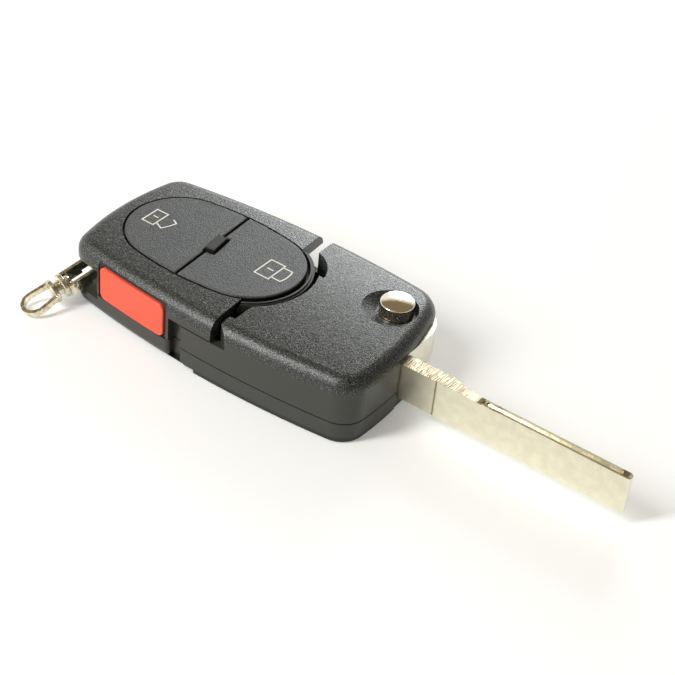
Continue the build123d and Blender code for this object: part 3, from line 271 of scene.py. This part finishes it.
class StageSettings(bpy.types.PropertyGroup):
    """Floor, light and camera"""

    floor_colour: colour("Floor", "Plain floor as the camera sees it", (0.9, 0.9, 0.88))
    backdrop_colour: colour("Backdrop", "Space behind the floor as the camera sees it",
                            (0.985, 0.985, 0.965))
    wall_light: colour("Light wall", "Light that comes from low all round", (1.0, 0.99, 0.97))
    ceiling_light: colour("Ceiling", "Dim light from above, between the lamps", (0.23, 0.18, 0.12))
    floor_glow: colour("Floor glow", "Light that the camera sees coming through the floor",
                       (0.19, 0.2, 0.205))
    top_lamp: FloatProperty(name="Top lamp", description="Brightness of the lamp overhead",
                            default=0.3)
    front_lamp: FloatProperty(name="Front lamp", description="Brightness of the lamp in front",
                              default=18.0)
    back_lamp: FloatProperty(name="Back lamp", description="Brightness of the lamp behind",
                             default=9.0)
    lens: FloatProperty(name="Lens", description="Focal length", default=85.1, unit="CAMERA")


SETTINGS = {
    "key_plastic": PlasticSettings,
    "key_metal": MetalSettings,
    "key_inside": InsideSettings,
    "key_marks": MarkSettings,
    "key_stage": StageSettings,
}


def add_mesh(name, vertices, faces, material, body):
    """Makes a piece of the key from arrays and lets it ride on its body."""
    mesh = bpy.data.meshes.new(name)
    mesh.from_pydata(vertices.reshape(-1, 3).tolist(), [], faces)
    mesh.validate()
    mesh.materials.append(material)
    piece = bpy.data.objects.new(name, mesh)
    bpy.context.scene.collection.objects.link(piece)
    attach(piece, body)
    return piece


def tube_faces(count, ring, closed):
    """Faces between the rings of a row. An open row gets a flat cap on each end."""
    along = np.arange(count if closed else count - 1)
    i, j = np.meshgrid(along, np.arange(ring), indexing="ij")
    i_next, j_next = (i + 1) % count, (j + 1) % ring
    corners = [i * ring + j, i_next * ring + j, i_next * ring + j_next, i * ring + j_next]
    faces = np.stack(corners, axis=-1).reshape(-1, 4).tolist()
    if not closed:
        faces.append(list(range(ring)))
        faces.append([(count - 1) * ring + k for k in reversed(range(ring))])
    return faces


def carried_profile(path, profile, closed):
    """A flat profile carried along a flat path, as rings of points and their faces.

    At each point of the path the sideways direction is the mean of its two runs' normals, made
    longer by one over its cosine, so that the line keeps its width round a corner. A point of
    the profile goes out by its first number along that direction and up by its second.
    """
    count, ring = len(path), len(profile)
    runs = np.roll(path, -1, axis=0) - path
    runs /= np.linalg.norm(runs, axis=1, keepdims=True)
    normals = np.stack([runs[:, 1], -runs[:, 0]], axis=1)
    before = np.roll(normals, 1, axis=0)
    if not closed:
        before[0] = normals[0]
        normals[-1] = before[-1]
    sideways = before + normals
    sideways /= np.linalg.norm(sideways, axis=1, keepdims=True)
    sideways /= (sideways * normals).sum(axis=1, keepdims=True)
    flat = path[:, None, :] + profile[None, :, :1] * sideways[:, None, :]
    up = np.broadcast_to(profile[None, :, 1:], (count, ring, 1))
    return np.concatenate([flat, up], axis=2), tube_faces(count, ring, closed)


def coil(low, high, wire, turns, per_turn=40, ring=12):
    """A round wire wound into the box between two corners, as points on a grid and their faces.

    The middle line turns at a steady radius while it climbs by an even pitch. Round it the
    surface is a circle whose two axes are the outward direction and the direction square to
    both that and the line's own. Each turn has per_turn points, and each circle ring points.
    """
    count = int(turns * per_turn) + 1
    radius = (high.x - low.x - wire) / 2
    climb = high.z - low.z - wire
    angle = np.linspace(0.0, turns * 2 * math.pi, count)[:, None]
    level = np.zeros_like(angle)
    outward = np.concatenate([np.cos(angle), np.sin(angle), level], axis=1)
    onward = np.concatenate([-np.sin(angle) * radius, np.cos(angle) * radius, level], axis=1)
    onward[:, 2] = climb / (turns * 2 * math.pi)
    onward /= np.linalg.norm(onward, axis=1, keepdims=True)
    upward = np.cross(outward, onward)
    height = low.z + wire / 2 + climb * angle / angle[-1]
    middle = outward * radius + np.concatenate([level, level, height], axis=1)
    around = np.linspace(0.0, 2 * math.pi, ring, endpoint=False)[None, :, None]
    points = (middle[:, None, :] + np.cos(around) * outward[:, None, :] * wire / 2
              + np.sin(around) * upward[:, None, :] * wire / 2)
    return points, tube_faces(count, ring, False)


def bowed(start, end, bow, count=9):
    """Points of a shallow arc: a straight run plus a parabola that rises to bow at its middle."""
    share = np.linspace(0.0, 1.0, count)[:, None]
    start, end = np.array(start), np.array(end)
    run = end - start
    normal = np.array([run[1], -run[0]]) / np.linalg.norm(run)
    return start + share * run + 4 * share * (1 - share) * bow * normal


class REMOTE_KEY_OT_grained_shells(bpy.types.Operator):
    """Finish the upper shells with moulded grain and painted glints on top, smooth side walls and
    painted shade in the button opening
    """

    bl_idname = "remote_key.grained_shells"
    bl_label = "Grained shells"

    # How far below and above smooth_below the grain fades in.
    BLEND_BELOW = 0.5 * MM
    BLEND_ABOVE = 0.7 * MM

    # How far under the cover's top the painted shade on the wall of the opening starts and is full.
    LIP_EDGE = 0.12 * MM
    LIP_FOOT = 0.6 * MM

    # Height of the crown, in metres to a square metre.
    CROWN = -2.2

    # Power of the oval's outline, and the values between which the painted shade in the opening fades.
    OVAL_POWER = 3.0
    OVAL_EDGE = (1.05, 1.15)

    def execute(self, context):
        settings = context.scene.key_plastic
        finish = Finish("grained_shell", IOR=1.5)
        place = finish.place()
        height = finish.axes(place)[2]
        grained = finish.step(height, settings.smooth_below - self.BLEND_BELOW,
                              settings.smooth_below + self.BLEND_ABOVE)
        grain = finish.step(finish.noise(place, settings.shell_grain), *GRAIN_RISE)
        fine = finish.noise(place, settings.shell_grain * 0.4, detail=1.0)
        # Painted glints: light specks on the grain's raised tips stand in for the lamp's sparkle on
        # them.
        painted_glints = finish.step(finish.noise(place, settings.shell_grain * 0.8, detail=1.0), 0.58, 0.7)
        cloud = finish.noise(place, 9 * MM)
        pitted = finish.mix(grain, rgba(settings.shell_colour, 0.25), rgba(settings.shell_colour, 1.2))
        glinted = finish.mix(painted_glints, pitted, rgba(settings.shell_colour, 6.0))
        outside = finish.mix(grained, rgba(settings.wall_colour), glinted)
        above_lip = finish.step(height, SHELL_HIGH.z - self.LIP_FOOT, SHELL_HIGH.z - self.LIP_EDGE)
        # Painted shade on the walls of the button opening, below its lip.
        sunk = self.inside_oval(finish, place) * (1 - above_lip)
        finish.feed(
            Base_Color=finish.mix(sunk, outside, rgba(GAP_SHADE)),
            Roughness=0.26 + (cloud - 0.5) * 0.06,
            Normal=finish.bump((grain * 0.75 + fine * 0.25) * grained, settings.shell_grain_depth,
                               self.crowned(finish, place)),
        )
        finish.onto("head_top_shell", "remote_top_cover")
        return {"FINISHED"}

    def crowned(self, finish, place):
        """Normal of a top that falls off to both sides.

        Its height is the square of the way from the middle line in metres, times CROWN.
        """
        off = finish.axes(place)[1] - (SHELL_LOW.y + SHELL_HIGH.y) / 2
        return finish.bump(off * off * self.CROWN, 1.0)

    def inside_oval(self, finish, place):
        """1 in the opening of the two big buttons, 0 outside.

        The way from the middle along each axis, as a share of the oval's half length or width,
        is raised to OVAL_POWER. The sum of both is 1 on the oval's outline.
        """
        middle = (OVAL_LOW + OVAL_HIGH) / 2
        half = (OVAL_HIGH - OVAL_LOW) / 2
        x, y = finish.axes(place)[:2]
        along = finish.math("ABSOLUTE", (x - middle.x) / half.x)
        across = finish.math("ABSOLUTE", (y - middle.y) / half.y)
        way = (finish.math("POWER", along, self.OVAL_POWER)
               + finish.math("POWER", across, self.OVAL_POWER))
        return 1 - finish.step(way, *self.OVAL_EDGE)


class REMOTE_KEY_OT_smooth_shells(bpy.types.Operator):
    """Finish the lower shells and the dark trim in satin plastic"""

    bl_idname = "remote_key.smooth_shells"
    bl_label = "Smooth shells and trim"

    # Heights between which the painted shade of the foot band fades.
    FOOT_SHADE = (1.0 * MM, 1.5 * MM)

    def execute(self, context):
        settings = context.scene.key_plastic
        wall, trim = settings.wall_colour, settings.trim_colour
        self.satin("lower_shell", wall, 0.38).onto("head_lower_shell", "remote_lower_cover")
        self.satin("bezel_satin", wall, 0.42).onto("button_bezel")
        self.satin("frame_satin", trim, 0.45).onto("alarm_button_frame")
        self.satin("window_satin", trim, 0.5).onto("light_window")
        return {"FINISHED"}

    def satin(self, name, base, roughness):
        """Satin plastic with faint flow marks, and painted shade in the foot band just above the
        table.
        """
        finish = Finish(name, IOR=1.5)
        place = finish.place()
        flow = finish.noise(place, 5 * MM, detail=3.0)
        fine = finish.noise(place, 0.12 * MM)
        # Painted shade on the bottom band, where the wall faces the shadowed floor.
        foot_shade = 1 - finish.step(finish.axes(place)[2], *self.FOOT_SHADE)
        wall = finish.mix(flow, rgba(base, 0.85), rgba(base, 1.2))
        finish.feed(
            Base_Color=finish.mix(foot_shade, wall, rgba(base, 0.25)),
            Roughness=roughness + (flow - 0.5) * 0.12,
            Normal=finish.bump(fine, 0.004 * MM),
        )
        return finish


class REMOTE_KEY_OT_pads(bpy.types.Operator):
    """Finish the two big buttons with a fine grain and painted shade on their sides"""

    bl_idname = "remote_key.pads"
    bl_label = "Big buttons"

    # How far under their tops the painted shade on the buttons' sides starts and is full.
    SIDE_EDGE = 0.1 * MM
    SIDE_FOOT = 0.4 * MM

    def execute(self, context):
        settings = context.scene.key_plastic
        finish = Finish("pad_grain", IOR=1.5)
        place = finish.place()
        height = finish.axes(place)[2]
        grain = finish.step(finish.noise(place, settings.pad_grain), *GRAIN_RISE)
        cloud = finish.noise(place, 7 * MM)
        # Painted shade on the buttons' sides, below their tops.
        sides = 1 - finish.step(height, PAD_TOP - self.SIDE_FOOT, PAD_TOP - self.SIDE_EDGE)
        face = finish.mix(grain, rgba(settings.pad_colour, 0.55), rgba(settings.pad_colour, 1.5))
        finish.feed(
            Base_Color=finish.mix(sides, face, rgba(GAP_SHADE)),
            Roughness=0.38 + (cloud - 0.5) * 0.08,
            Normal=finish.bump(grain, settings.pad_grain_depth),
        )
        finish.onto("unlock_button", "lock_button")
        return {"FINISHED"}


class REMOTE_KEY_OT_red_button(bpy.types.Operator):
    """Finish the red button in soft satin plastic that lets a little light in"""

    bl_idname = "remote_key.red_button"
    bl_label = "Red button"

    # How far red, green and blue light go inside, as shares of the scale.
    LIGHT_REACH = (1.0, 0.25, 0.15)

    def execute(self, context):
        red = context.scene.key_plastic.red_colour
        finish = Finish("alarm_red", IOR=1.48, Subsurface_Weight=0.12,
                        Subsurface_Radius=self.LIGHT_REACH, Subsurface_Scale=0.6 * MM)
        place = finish.place()
        cloud = finish.noise(place, 3 * MM, detail=3.0)
        fine = finish.noise(place, 0.16 * MM)
        finish.feed(
            Base_Color=finish.mix(cloud, rgba(red, 0.92), rgba(red, 1.08)),
            Roughness=0.36 + (cloud - 0.5) * 0.1,
            Normal=finish.bump(fine, 0.006 * MM),
        )
        finish.onto("alarm_button")
        return {"FINISHED"}


class REMOTE_KEY_OT_blade(bpy.types.Operator):
    """Finish the blade in mottled nickel with file marks across its base"""

    bl_idname = "remote_key.blade"
    bl_label = "Blade"

    # Places along the blade, each as the two ends of a band or of a soft edge.
    STOP = (16.85 * MM, 17.2 * MM)
    SHANK_END = (16.8 * MM, 17.2 * MM)
    MARKS_END = (23 * MM, 26 * MM)
    FILED_END = (24 * MM, 27 * MM)
    BURR_START = (26 * MM, 28 * MM)
    NOTCH = (26.3 * MM, 27.3 * MM)
    SPOTS = (27.5 * MM, 31.0 * MM)

    # Distances from the blade's upper face, its near side, its tip and both its sides.
    TOP_EDGE = (0.12 * MM, 0.03 * MM)
    BURR_INSET = (0.22 * MM, 0.5 * MM)
    PIT_FROM_TIP = (2.3 * MM, 0.7 * MM)
    PIT_INSET = (0.3 * MM, 0.5 * MM)

    FILED_COLOUR = (0.78, 0.71, 0.55)
    # Dark brown of the file marks, the burr, the darkened notch, spots and pit, and the stop line.
    MARK_BROWN = (0.18, 0.115, 0.04)

    def execute(self, context):
        settings = context.scene.key_metal
        finish = Finish("blade_nickel", Metallic=1.0)
        place = finish.place()
        x, y, z = finish.axes(place)
        mottle = finish.noise(place, settings.mottle, detail=4.0, roughness=0.6)
        speck = finish.noise(place, 0.35 * MM)
        top_start, top_full = self.TOP_EDGE
        top = finish.step(z, BLADE_HIGH.z - top_start, BLADE_HIGH.z - top_full)
        flank = 1 - top
        marks = self.file_marks(finish, settings, place, x) * top
        filed = top * (1 - finish.step(x, *self.FILED_END))
        near, far = self.BURR_INSET
        near_edge = finish.band(y, BLADE_LOW.y + near, BLADE_LOW.y + far, 0.08 * MM)
        burr = near_edge * top * finish.step(x, *self.BURR_START)
        # The notch, the spots past it and the pit are darkened to brown.
        dark_marks = self.dark_spots(finish, speck, x, y) * top
        stop = finish.band(x, *self.STOP, 0.08 * MM) * flank
        shank = (1 - finish.step(x, *self.SHANK_END)) * flank
        brown = finish.most(marks * 0.9, burr * 0.85, dark_marks * 0.85, stop * 0.55)
        plating = finish.mix(finish.step(mottle, 0.35, 0.7), rgba(settings.blade_colour, 0.9),
                             rgba(settings.blade_colour))
        warm = finish.mix(filed, plating, rgba(self.FILED_COLOUR))
        finish.feed(
            Base_Color=finish.mix(brown, warm, rgba(self.MARK_BROWN)),
            Roughness=0.13 + mottle * 0.1 + filed * 0.25 + shank * 0.2,
            Normal=finish.bump(mottle * 0.25 + speck * 0.1 - marks, 0.012 * MM),
        )
        finish.onto("blade")
        return {"FINISHED"}

    def file_marks(self, finish, settings, place, x):
        """Short brown scratches across the base, about a pitch apart but bent and broken by noise."""
        wobble = finish.noise(place, 1.4 * MM) * (0.9 * MM)
        comb = finish.math("SINE", (x + wobble) * (2 * math.pi / settings.file_pitch))
        broken = finish.noise(finish.stretched(place, (1.0, 0.15, 0.15)), 0.24 * MM)
        scratches = finish.step(comb * 0.13 + broken, 0.5, 0.6)
        return scratches * (1 - finish.step(x, *self.MARKS_END))

    def dark_spots(self, finish, speck, x, y):
        """Where the blade is darkened to brown: the notch, the spots just past it, and the pit where
        the cut ends near the tip.
        """
        notch = finish.band(x, *self.NOTCH, 0.15 * MM)
        spots = finish.band(x, *self.SPOTS, 0.4 * MM) * finish.step(speck, 0.5, 0.6)
        start, end = self.PIT_FROM_TIP
        near, far = self.PIT_INSET
        pit_along = finish.band(x, BLADE_HIGH.x - start, BLADE_HIGH.x - end, 0.2 * MM)
        pit_across = finish.band(y, BLADE_LOW.y + near, BLADE_HIGH.y - far, 0.15 * MM)
        return finish.most(notch, spots, pit_along * pit_across)


class REMOTE_KEY_OT_hub(bpy.types.Operator):
    """Finish the hub, the round button and the pins, and wind the spring under the button"""

    bl_idname = "remote_key.hub"
    bl_label = "Hub, release button and spring"

    STEEL_DARK = (0.5, 0.49, 0.46)
    STEEL_LIGHT = (0.66, 0.65, 0.62)

    def execute(self, context):
        settings = context.scene.key_metal
        self.cast_nickel(settings).onto("blade_hub")
        self.chrome(settings).onto("release_button")
        steel = self.plain_steel().onto("release_spring", "blade_roll_pin", "head_screws", "ring_post")
        self.wind_spring(settings, steel)
        return {"FINISHED"}

    def wind_spring(self, settings, steel):
        """The spring under the round button, wound into the box of the CAD spring, which it replaces
        and hides.
        """
        low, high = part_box("release_spring")
        points, faces = coil(low, high, settings.spring_wire, settings.spring_turns)
        spring = add_mesh("release_coil", points, faces, steel, "release")
        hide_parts("release_spring")
        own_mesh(spring)

    def cast_nickel(self, settings):
        """Satin nickel with upright streaks."""
        finish = Finish("hub_nickel", Metallic=1.0)
        place = finish.place()
        flow = finish.noise(finish.stretched(place, (1.0, 1.0, 0.15)), 1.6 * MM, detail=3.0)
        finish.feed(
            Base_Color=finish.mix(flow, rgba(settings.hub_colour, 0.8), rgba(settings.hub_colour)),
            Roughness=0.24 + flow * 0.12,
            Normal=finish.bump(flow, 0.03 * MM),
        )
        return finish

    def chrome(self, settings):
        """Bright plating with soft ripples, which break up what it mirrors."""
        finish = Finish("button_chrome", Metallic=1.0)
        place = finish.place()
        ripple = finish.noise(place, 1.8 * MM, detail=1.0)
        fine = finish.noise(place, 0.3 * MM)
        bright = settings.chrome_colour
        finish.feed(
            Base_Color=finish.mix(fine, rgba(bright, 0.9), rgba(bright)),
            Roughness=0.05 + fine * 0.05,
            Normal=finish.bump(ripple, 0.012 * MM),
        )
        return finish

    def plain_steel(self):
        """Cloudy bare steel."""
        finish = Finish("plain_steel", Metallic=1.0)
        place = finish.place()
        cloud = finish.noise(place, 0.8 * MM, detail=3.0)
        finish.feed(
            Base_Color=finish.mix(cloud, rgba(self.STEEL_DARK), rgba(self.STEEL_LIGHT)),
            Roughness=0.22 + cloud * 0.14,
            Normal=finish.bump(cloud, 0.01 * MM),
        )
        return finish


class REMOTE_KEY_OT_ring(bpy.types.Operator):
    """Finish the ring link, its swivel and the free loop in worn bright nickel"""

    bl_idname = "remote_key.ring"
    bl_label = "Ring link"

    WORN_COLOUR = (0.55, 0.48, 0.33)

    def execute(self, context):
        settings = context.scene.key_metal
        finish = Finish("ring_nickel", Metallic=1.0)
        place = finish.place()
        dents = finish.noise(place, 1.1 * MM, detail=3.0)
        fine = finish.noise(place, 0.25 * MM)
        plated = finish.step(dents, 0.35, 0.65)
        finish.feed(
            Base_Color=finish.mix(plated, rgba(self.WORN_COLOUR), rgba(settings.ring_colour)),
            Roughness=0.05 + fine * 0.08,
            Normal=finish.bump(dents + fine * 0.12, 0.11 * MM),
        )
        finish.onto("ring_link", "end_loop", "swivel_rivet", "swivel_washer")
        return {"FINISHED"}


class REMOTE_KEY_OT_inside(bpy.types.Operator):
    """Finish the circuit board, its parts and the coin cell"""

    bl_idname = "remote_key.inside"
    bl_label = "Inner pieces"

    SWITCH_COLOUR = (0.05, 0.05, 0.052)
    LAMP_COLOUR = (0.82, 0.8, 0.7)
    CELL_COLOUR = (0.68, 0.67, 0.64)
    TRACK_PITCH = 1.3 * MM

    def execute(self, context):
        settings = context.scene.key_inside
        chip, brass = settings.chip_colour, settings.brass_colour
        self.board(settings).onto("circuit_board")
        self.moulded("chip_black", chip, 0.45).onto("control_chip")
        self.moulded("transponder_black", chip, 0.3).onto("transponder")
        self.moulded("switch_body", self.SWITCH_COLOUR, 0.4).onto(
            "unlock_switch", "lock_switch", "alarm_switch")
        self.moulded("lamp_white", self.LAMP_COLOUR, 0.25).onto("indicator_led")
        self.rolled("cell_steel", self.CELL_COLOUR, 0.24).onto("coin_battery", "crystal")
        self.rolled("contact_brass", brass, 0.28).onto(
            "battery_contact_positive", "battery_contact_negative")
        return {"FINISHED"}

    def board(self, settings):
        """Green mask over copper tracks, which are lanes along the board, cut off by noise."""
        finish = Finish("board_green", IOR=1.55, Coat_Roughness=0.15)
        place = finish.place()
        y = finish.axes(place)[1]
        lanes = finish.math("SINE", y * (2 * math.pi / self.TRACK_PITCH))
        region = finish.step(finish.noise(place, 4.0 * MM, detail=0.0), 0.45, 0.5)
        tracks = finish.step(lanes, 0.2, 0.45) * region
        weave = finish.noise(place, 0.4 * MM, detail=1.0)
        mask = finish.mix(weave * 0.4, rgba(settings.board_colour), rgba(settings.board_colour, 0.7))
        finish.feed(
            Base_Color=finish.mix(tracks, mask, rgba(settings.copper_colour)),
            Roughness=0.3 + weave * 0.1,
            Normal=finish.bump(tracks, 0.03 * MM),
        )
        return finish

    def moulded(self, name, base, roughness):
        """Fine-grained moulding compound."""
        finish = Finish(name, IOR=1.5)
        place = finish.place()
        grain = finish.noise(place, 0.2 * MM, detail=3.0)
        finish.feed(
            Base_Color=finish.mix(grain, rgba(base, 0.85), rgba(base, 1.15)),
            Roughness=roughness + (grain - 0.5) * 0.15,
            Normal=finish.bump(grain, 0.01 * MM),
        )
        return finish

    def rolled(self, name, base, roughness):
        """Sheet metal with streaks along the key, as its rolling leaves them."""
        finish = Finish(name, Metallic=1.0)
        place = finish.place()
        streaks = finish.noise(finish.stretched(place, (0.1, 1.0, 1.0)), 0.3 * MM, detail=3.0)
        finish.feed(
            Base_Color=finish.mix(streaks, rgba(base, 0.85), rgba(base)),
            Roughness=roughness + (streaks - 0.5) * 0.16,
            Normal=finish.bump(streaks, 0.006 * MM),
        )
        return finish


class REMOTE_KEY_OT_padlock_marks(bpy.types.Operator):
    """Draw a shut and an open padlock in cream lines on the two big buttons"""

    bl_idname = "remote_key.padlock_marks"
    bl_label = "Padlock marks"

    def execute(self, context):
        settings = context.scene.key_marks
        material = self.filling(settings)
        self.padlock(
            "shut_padlock", "lock", settings, material,
            box=[(-28.5, -10.15), (-28.5, -4.35), (-24.9, -4.35), (-24.9, -10.15)],
            legs=[(-24.9, -9.2), (-24.9, -5.0)],
            top=bowed((-22.6, -9.25), (-22.6, -5.0), bow=0.35),
            keyhole=[(-27.4, -7.2), (-25.8, -7.2)],
        )
        self.padlock(
            "open_padlock", "unlock", settings, material,
            box=[(-57.8, -11.2), (-57.8, -6.2), (-54.8, -6.2), (-54.8, -11.2)],
            legs=[(-54.8, -10.1), (-52.7, -6.95)],
            top=bowed((-52.75, -11.05), (-51.4, -7.6), bow=0.15),
            keyhole=[(-57.0, -8.5), (-55.6, -8.5)],
        )
        return {"FINISHED"}

    def padlock(self, name, body, settings, material, box, legs, top, keyhole):
        """A box, a shackle whose bowed top joins the ends of its legs, and a keyhole, in mm."""
        shackle = np.concatenate([legs[:1], top, legs[1:]])
        lines = {"body": (box, True), "shackle": (shackle, False), "slot": (keyhole, False)}
        for line, (path, closed) in lines.items():
            points, faces = self.raised_line(path, closed, settings)
            add_mesh(f"{name}_{line}", points, faces, material, body)

    def raised_line(self, path, closed, settings):
        """One line of a padlock mark, sunk a little into the pad."""
        half = settings.line_width / 2
        high = PAD_TOP + settings.line_proud
        low = PAD_TOP - 2 * settings.line_proud
        profile = np.array([(-half, low), (half, low), (half, high), (-half, high)])
        return carried_profile(np.array(path) * MM, profile, closed)

    def filling(self, settings):
        """Patchy cream paint."""
        cream = settings.mark_colour
        finish = Finish("mark_cream", IOR=1.45)
        place = finish.place()
        patchy = finish.noise(place, 0.5 * MM, detail=3.0)
        finish.feed(
            Base_Color=finish.mix(patchy, rgba(cream, 0.85), rgba(cream)),
            Roughness=0.5 + (patchy - 0.5) * 0.2,
            Normal=finish.bump(patchy, 0.005 * MM),
        )
        return finish.material


class REMOTE_KEY_OT_stage(bpy.types.Operator):
    """Lay the pale floor, hang the soft lamps and set the camera"""

    bl_idname = "remote_key.stage"
    bl_label = "Stage"

    # The floor: its side, its colour for the light that it throws back, and how its glow grows.
    FLOOR_SIZE = 6.0
    FLOOR_BOUNCE = (0.8, 0.8, 0.78)
    GLOW_GROWS = (0.1, 0.9)
    FAR_GLOW = 3.2

    # The world's walls: where they end at the top, how ragged that edge is, and where and to
    # what share they darken along the key.
    WALL_TOP = (0.58, 0.68)
    WALL_RAGGED = 0.06
    WALL_DARKENS = (-0.1, 0.45)
    WALL_DARK = 0.3

    # The camera, by the point that it looks at and its turns about that point.
    AIM = Vector((-3.15, -16.1, 15.0)) * MM
    AZIMUTH = math.radians(32.19)
    ELEVATION = math.radians(37.88)
    ROLL = math.radians(5.97)
    DISTANCE = 310.83 * MM

    def execute(self, context):
        settings = context.scene.key_stage
        self.add_floor(settings)
        self.add_world(context.scene, settings)
        self.add_lamp("top_lamp", settings.top_lamp, toward=(-0.35, -0.1, 0.93),
                      distance=0.75, sides=(0.55, 0.55))
        self.add_lamp("front_lamp", settings.front_lamp, toward=(-0.42, -0.65, 0.63),
                      distance=0.7, sides=(0.14, 0.5))
        self.add_lamp("back_lamp", settings.back_lamp, toward=(-0.36, 0.85, 0.37),
                      distance=0.8, sides=(0.3, 0.26), tint=(0.95, 1.0, 1.0))
        self.add_camera(context.scene, settings)
        context.scene.view_settings.view_transform = "Standard"
        return {"FINISHED"}

    def add_floor(self, settings):
        """Plain square floor with a glow that lights nothing.

        The camera sees the glow grow with the distance from the key, metal and glass see it even,
        and every other ray meets the floor without it.
        """
        half = self.FLOOR_SIZE / 2
        corners = [(-half, -half, 0), (half, -half, 0), (half, half, 0), (-half, half, 0)]
        mesh = bpy.data.meshes.new("floor")
        mesh.from_pydata(corners, [], [(0, 1, 2, 3)])
        floor = bpy.data.objects.new("floor", mesh)
        bpy.context.scene.collection.objects.link(floor)
        finish = Finish("floor_paper", Roughness=0.9, Emission_Strength=1.0)
        camera = finish.node("ShaderNodeLightPath", None, None, out="Is Camera Ray")
        mirrored = finish.most(camera.beside("Is Glossy Ray"), camera.beside("Is Transmission Ray"))
        seen = finish.most(camera, mirrored)
        from_key = finish.node("ShaderNodeVectorMath", {"operation": "LENGTH"},
                               {0: finish.place()}, out="Value")
        far = finish.step(from_key, *self.GLOW_GROWS)
        even = rgba(settings.floor_glow)
        camera_glow = finish.mix(far, even, rgba(settings.floor_glow, self.FAR_GLOW))
        other_glow = finish.mix(mirrored, rgba((0.0, 0.0, 0.0)), even)
        finish.feed(
            Base_Color=finish.mix(seen, rgba(self.FLOOR_BOUNCE), rgba(settings.floor_colour)),
            Emission_Color=finish.mix(camera, other_glow, camera_glow),
        )
        mesh.materials.append(finish.material)

    def add_world(self, scene, settings):
        """Light walls low all round, darker on the blade's side, under a dim ceiling."""
        world = bpy.data.worlds.new("studio")
        world.use_nodes = True
        tree = NodeTree(world.node_tree)
        direction = tree.node("ShaderNodeTexCoord", None, None, out="Generated")
        x, _, z = tree.axes(direction)
        ragged = tree.noise(direction, 0.35, detail=1.0) * self.WALL_RAGGED
        above = tree.step(z + ragged, *self.WALL_TOP)
        wall = tree.mix(tree.step(x, *self.WALL_DARKENS), rgba(settings.wall_light),
                        rgba(settings.wall_light, self.WALL_DARK))
        light = tree.mix(above, wall, rgba(settings.ceiling_light))
        camera = tree.node("ShaderNodeLightPath", None, None, out="Is Camera Ray")
        seen = tree.mix(camera, light, rgba(settings.backdrop_colour))
        background = tree.node("ShaderNodeBackground", None, {"Color": seen, "Strength": 1.0})
        tree.node("ShaderNodeOutputWorld", None, {"Surface": background})
        scene.world = world

    def add_lamp(self, name, brightness, toward, distance, sides, tint=(1.0, 1.0, 1.0)):
        """Oblong lamp that faces the aim point. Its power is pi times its area and brightness."""
        data = bpy.data.lights.new(name, "AREA")
        data.color = tint
        data.shape = "RECTANGLE"
        data.size, data.size_y = sides
        data.energy = brightness * math.pi * data.size * data.size_y
        lamp = bpy.data.objects.new(name, data)
        outward = Vector(toward).normalized()
        lamp.location = self.AIM + outward * distance
        lamp.rotation_euler = outward.to_track_quat("Z", "Y").to_euler()
        bpy.context.scene.collection.objects.link(lamp)

    def add_camera(self, scene, settings):
        """Camera that looks at the aim point from its azimuth and elevation, turned by its roll."""
        data = bpy.data.cameras.new("photo_camera")
        data.sensor_width = 36.0
        data.lens = settings.lens
        data.clip_start = 0.01
        camera = bpy.data.objects.new("photo_camera", data)
        flat = math.cos(self.ELEVATION)
        back = Vector((math.sin(self.AZIMUTH) * flat, -math.cos(self.AZIMUTH) * flat,
                       math.sin(self.ELEVATION)))
        right = Vector((0, 0, 1)).cross(back).normalized()
        up = back.cross(right)
        turned_right = right * math.cos(self.ROLL) + up * math.sin(self.ROLL)
        turned_up = up * math.cos(self.ROLL) - right * math.sin(self.ROLL)
        turn = Matrix((turned_right, turned_up, back)).transposed()
        camera.matrix_world = Matrix.Translation(self.AIM + back * self.DISTANCE) @ turn.to_4x4()
        scene.collection.objects.link(camera)
        scene.camera = camera


STEPS = (
    REMOTE_KEY_OT_grained_shells,
    REMOTE_KEY_OT_smooth_shells,
    REMOTE_KEY_OT_pads,
    REMOTE_KEY_OT_red_button,
    REMOTE_KEY_OT_blade,
    REMOTE_KEY_OT_hub,
    REMOTE_KEY_OT_ring,
    REMOTE_KEY_OT_inside,
    REMOTE_KEY_OT_padlock_marks,
    REMOTE_KEY_OT_stage,
)


class REMOTE_KEY_PT_looks(bpy.types.Panel):
    """Lists the sizes and colours, and the steps that dress the key"""

    bl_idname = "REMOTE_KEY_PT_looks"
    bl_label = "Remote Key"
    bl_space_type = "VIEW_3D"
    bl_region_type = "UI"
    bl_category = "Remote Key"

    def draw(self, context):
        layout = self.layout
        for name, group in SETTINGS.items():
            box = layout.box()
            box.label(text=group.__doc__)
            for prop in group.__annotations__:
                box.prop(getattr(context.scene, name), prop)
        for step in STEPS:
            layout.operator(step.bl_idname)


def register():
    for group in SETTINGS.values():
        bpy.utils.register_class(group)
    for name, group in SETTINGS.items():
        setattr(bpy.types.Scene, name, PointerProperty(type=group))
    for step in STEPS:
        bpy.utils.register_class(step)
    bpy.utils.register_class(REMOTE_KEY_PT_looks)


def unregister():
    bpy.utils.unregister_class(REMOTE_KEY_PT_looks)
    for step in reversed(STEPS):
        bpy.utils.unregister_class(step)
    for name in SETTINGS:
        delattr(bpy.types.Scene, name)
    for group in reversed(SETTINGS.values()):
        bpy.utils.unregister_class(group)


def main():
    """Registers the classes and runs every step in order."""
    register()
    for step in STEPS:
        group, name = step.bl_idname.split(".")
        getattr(getattr(bpy.ops, group), name)()


if __name__ == "__main__":
    main()
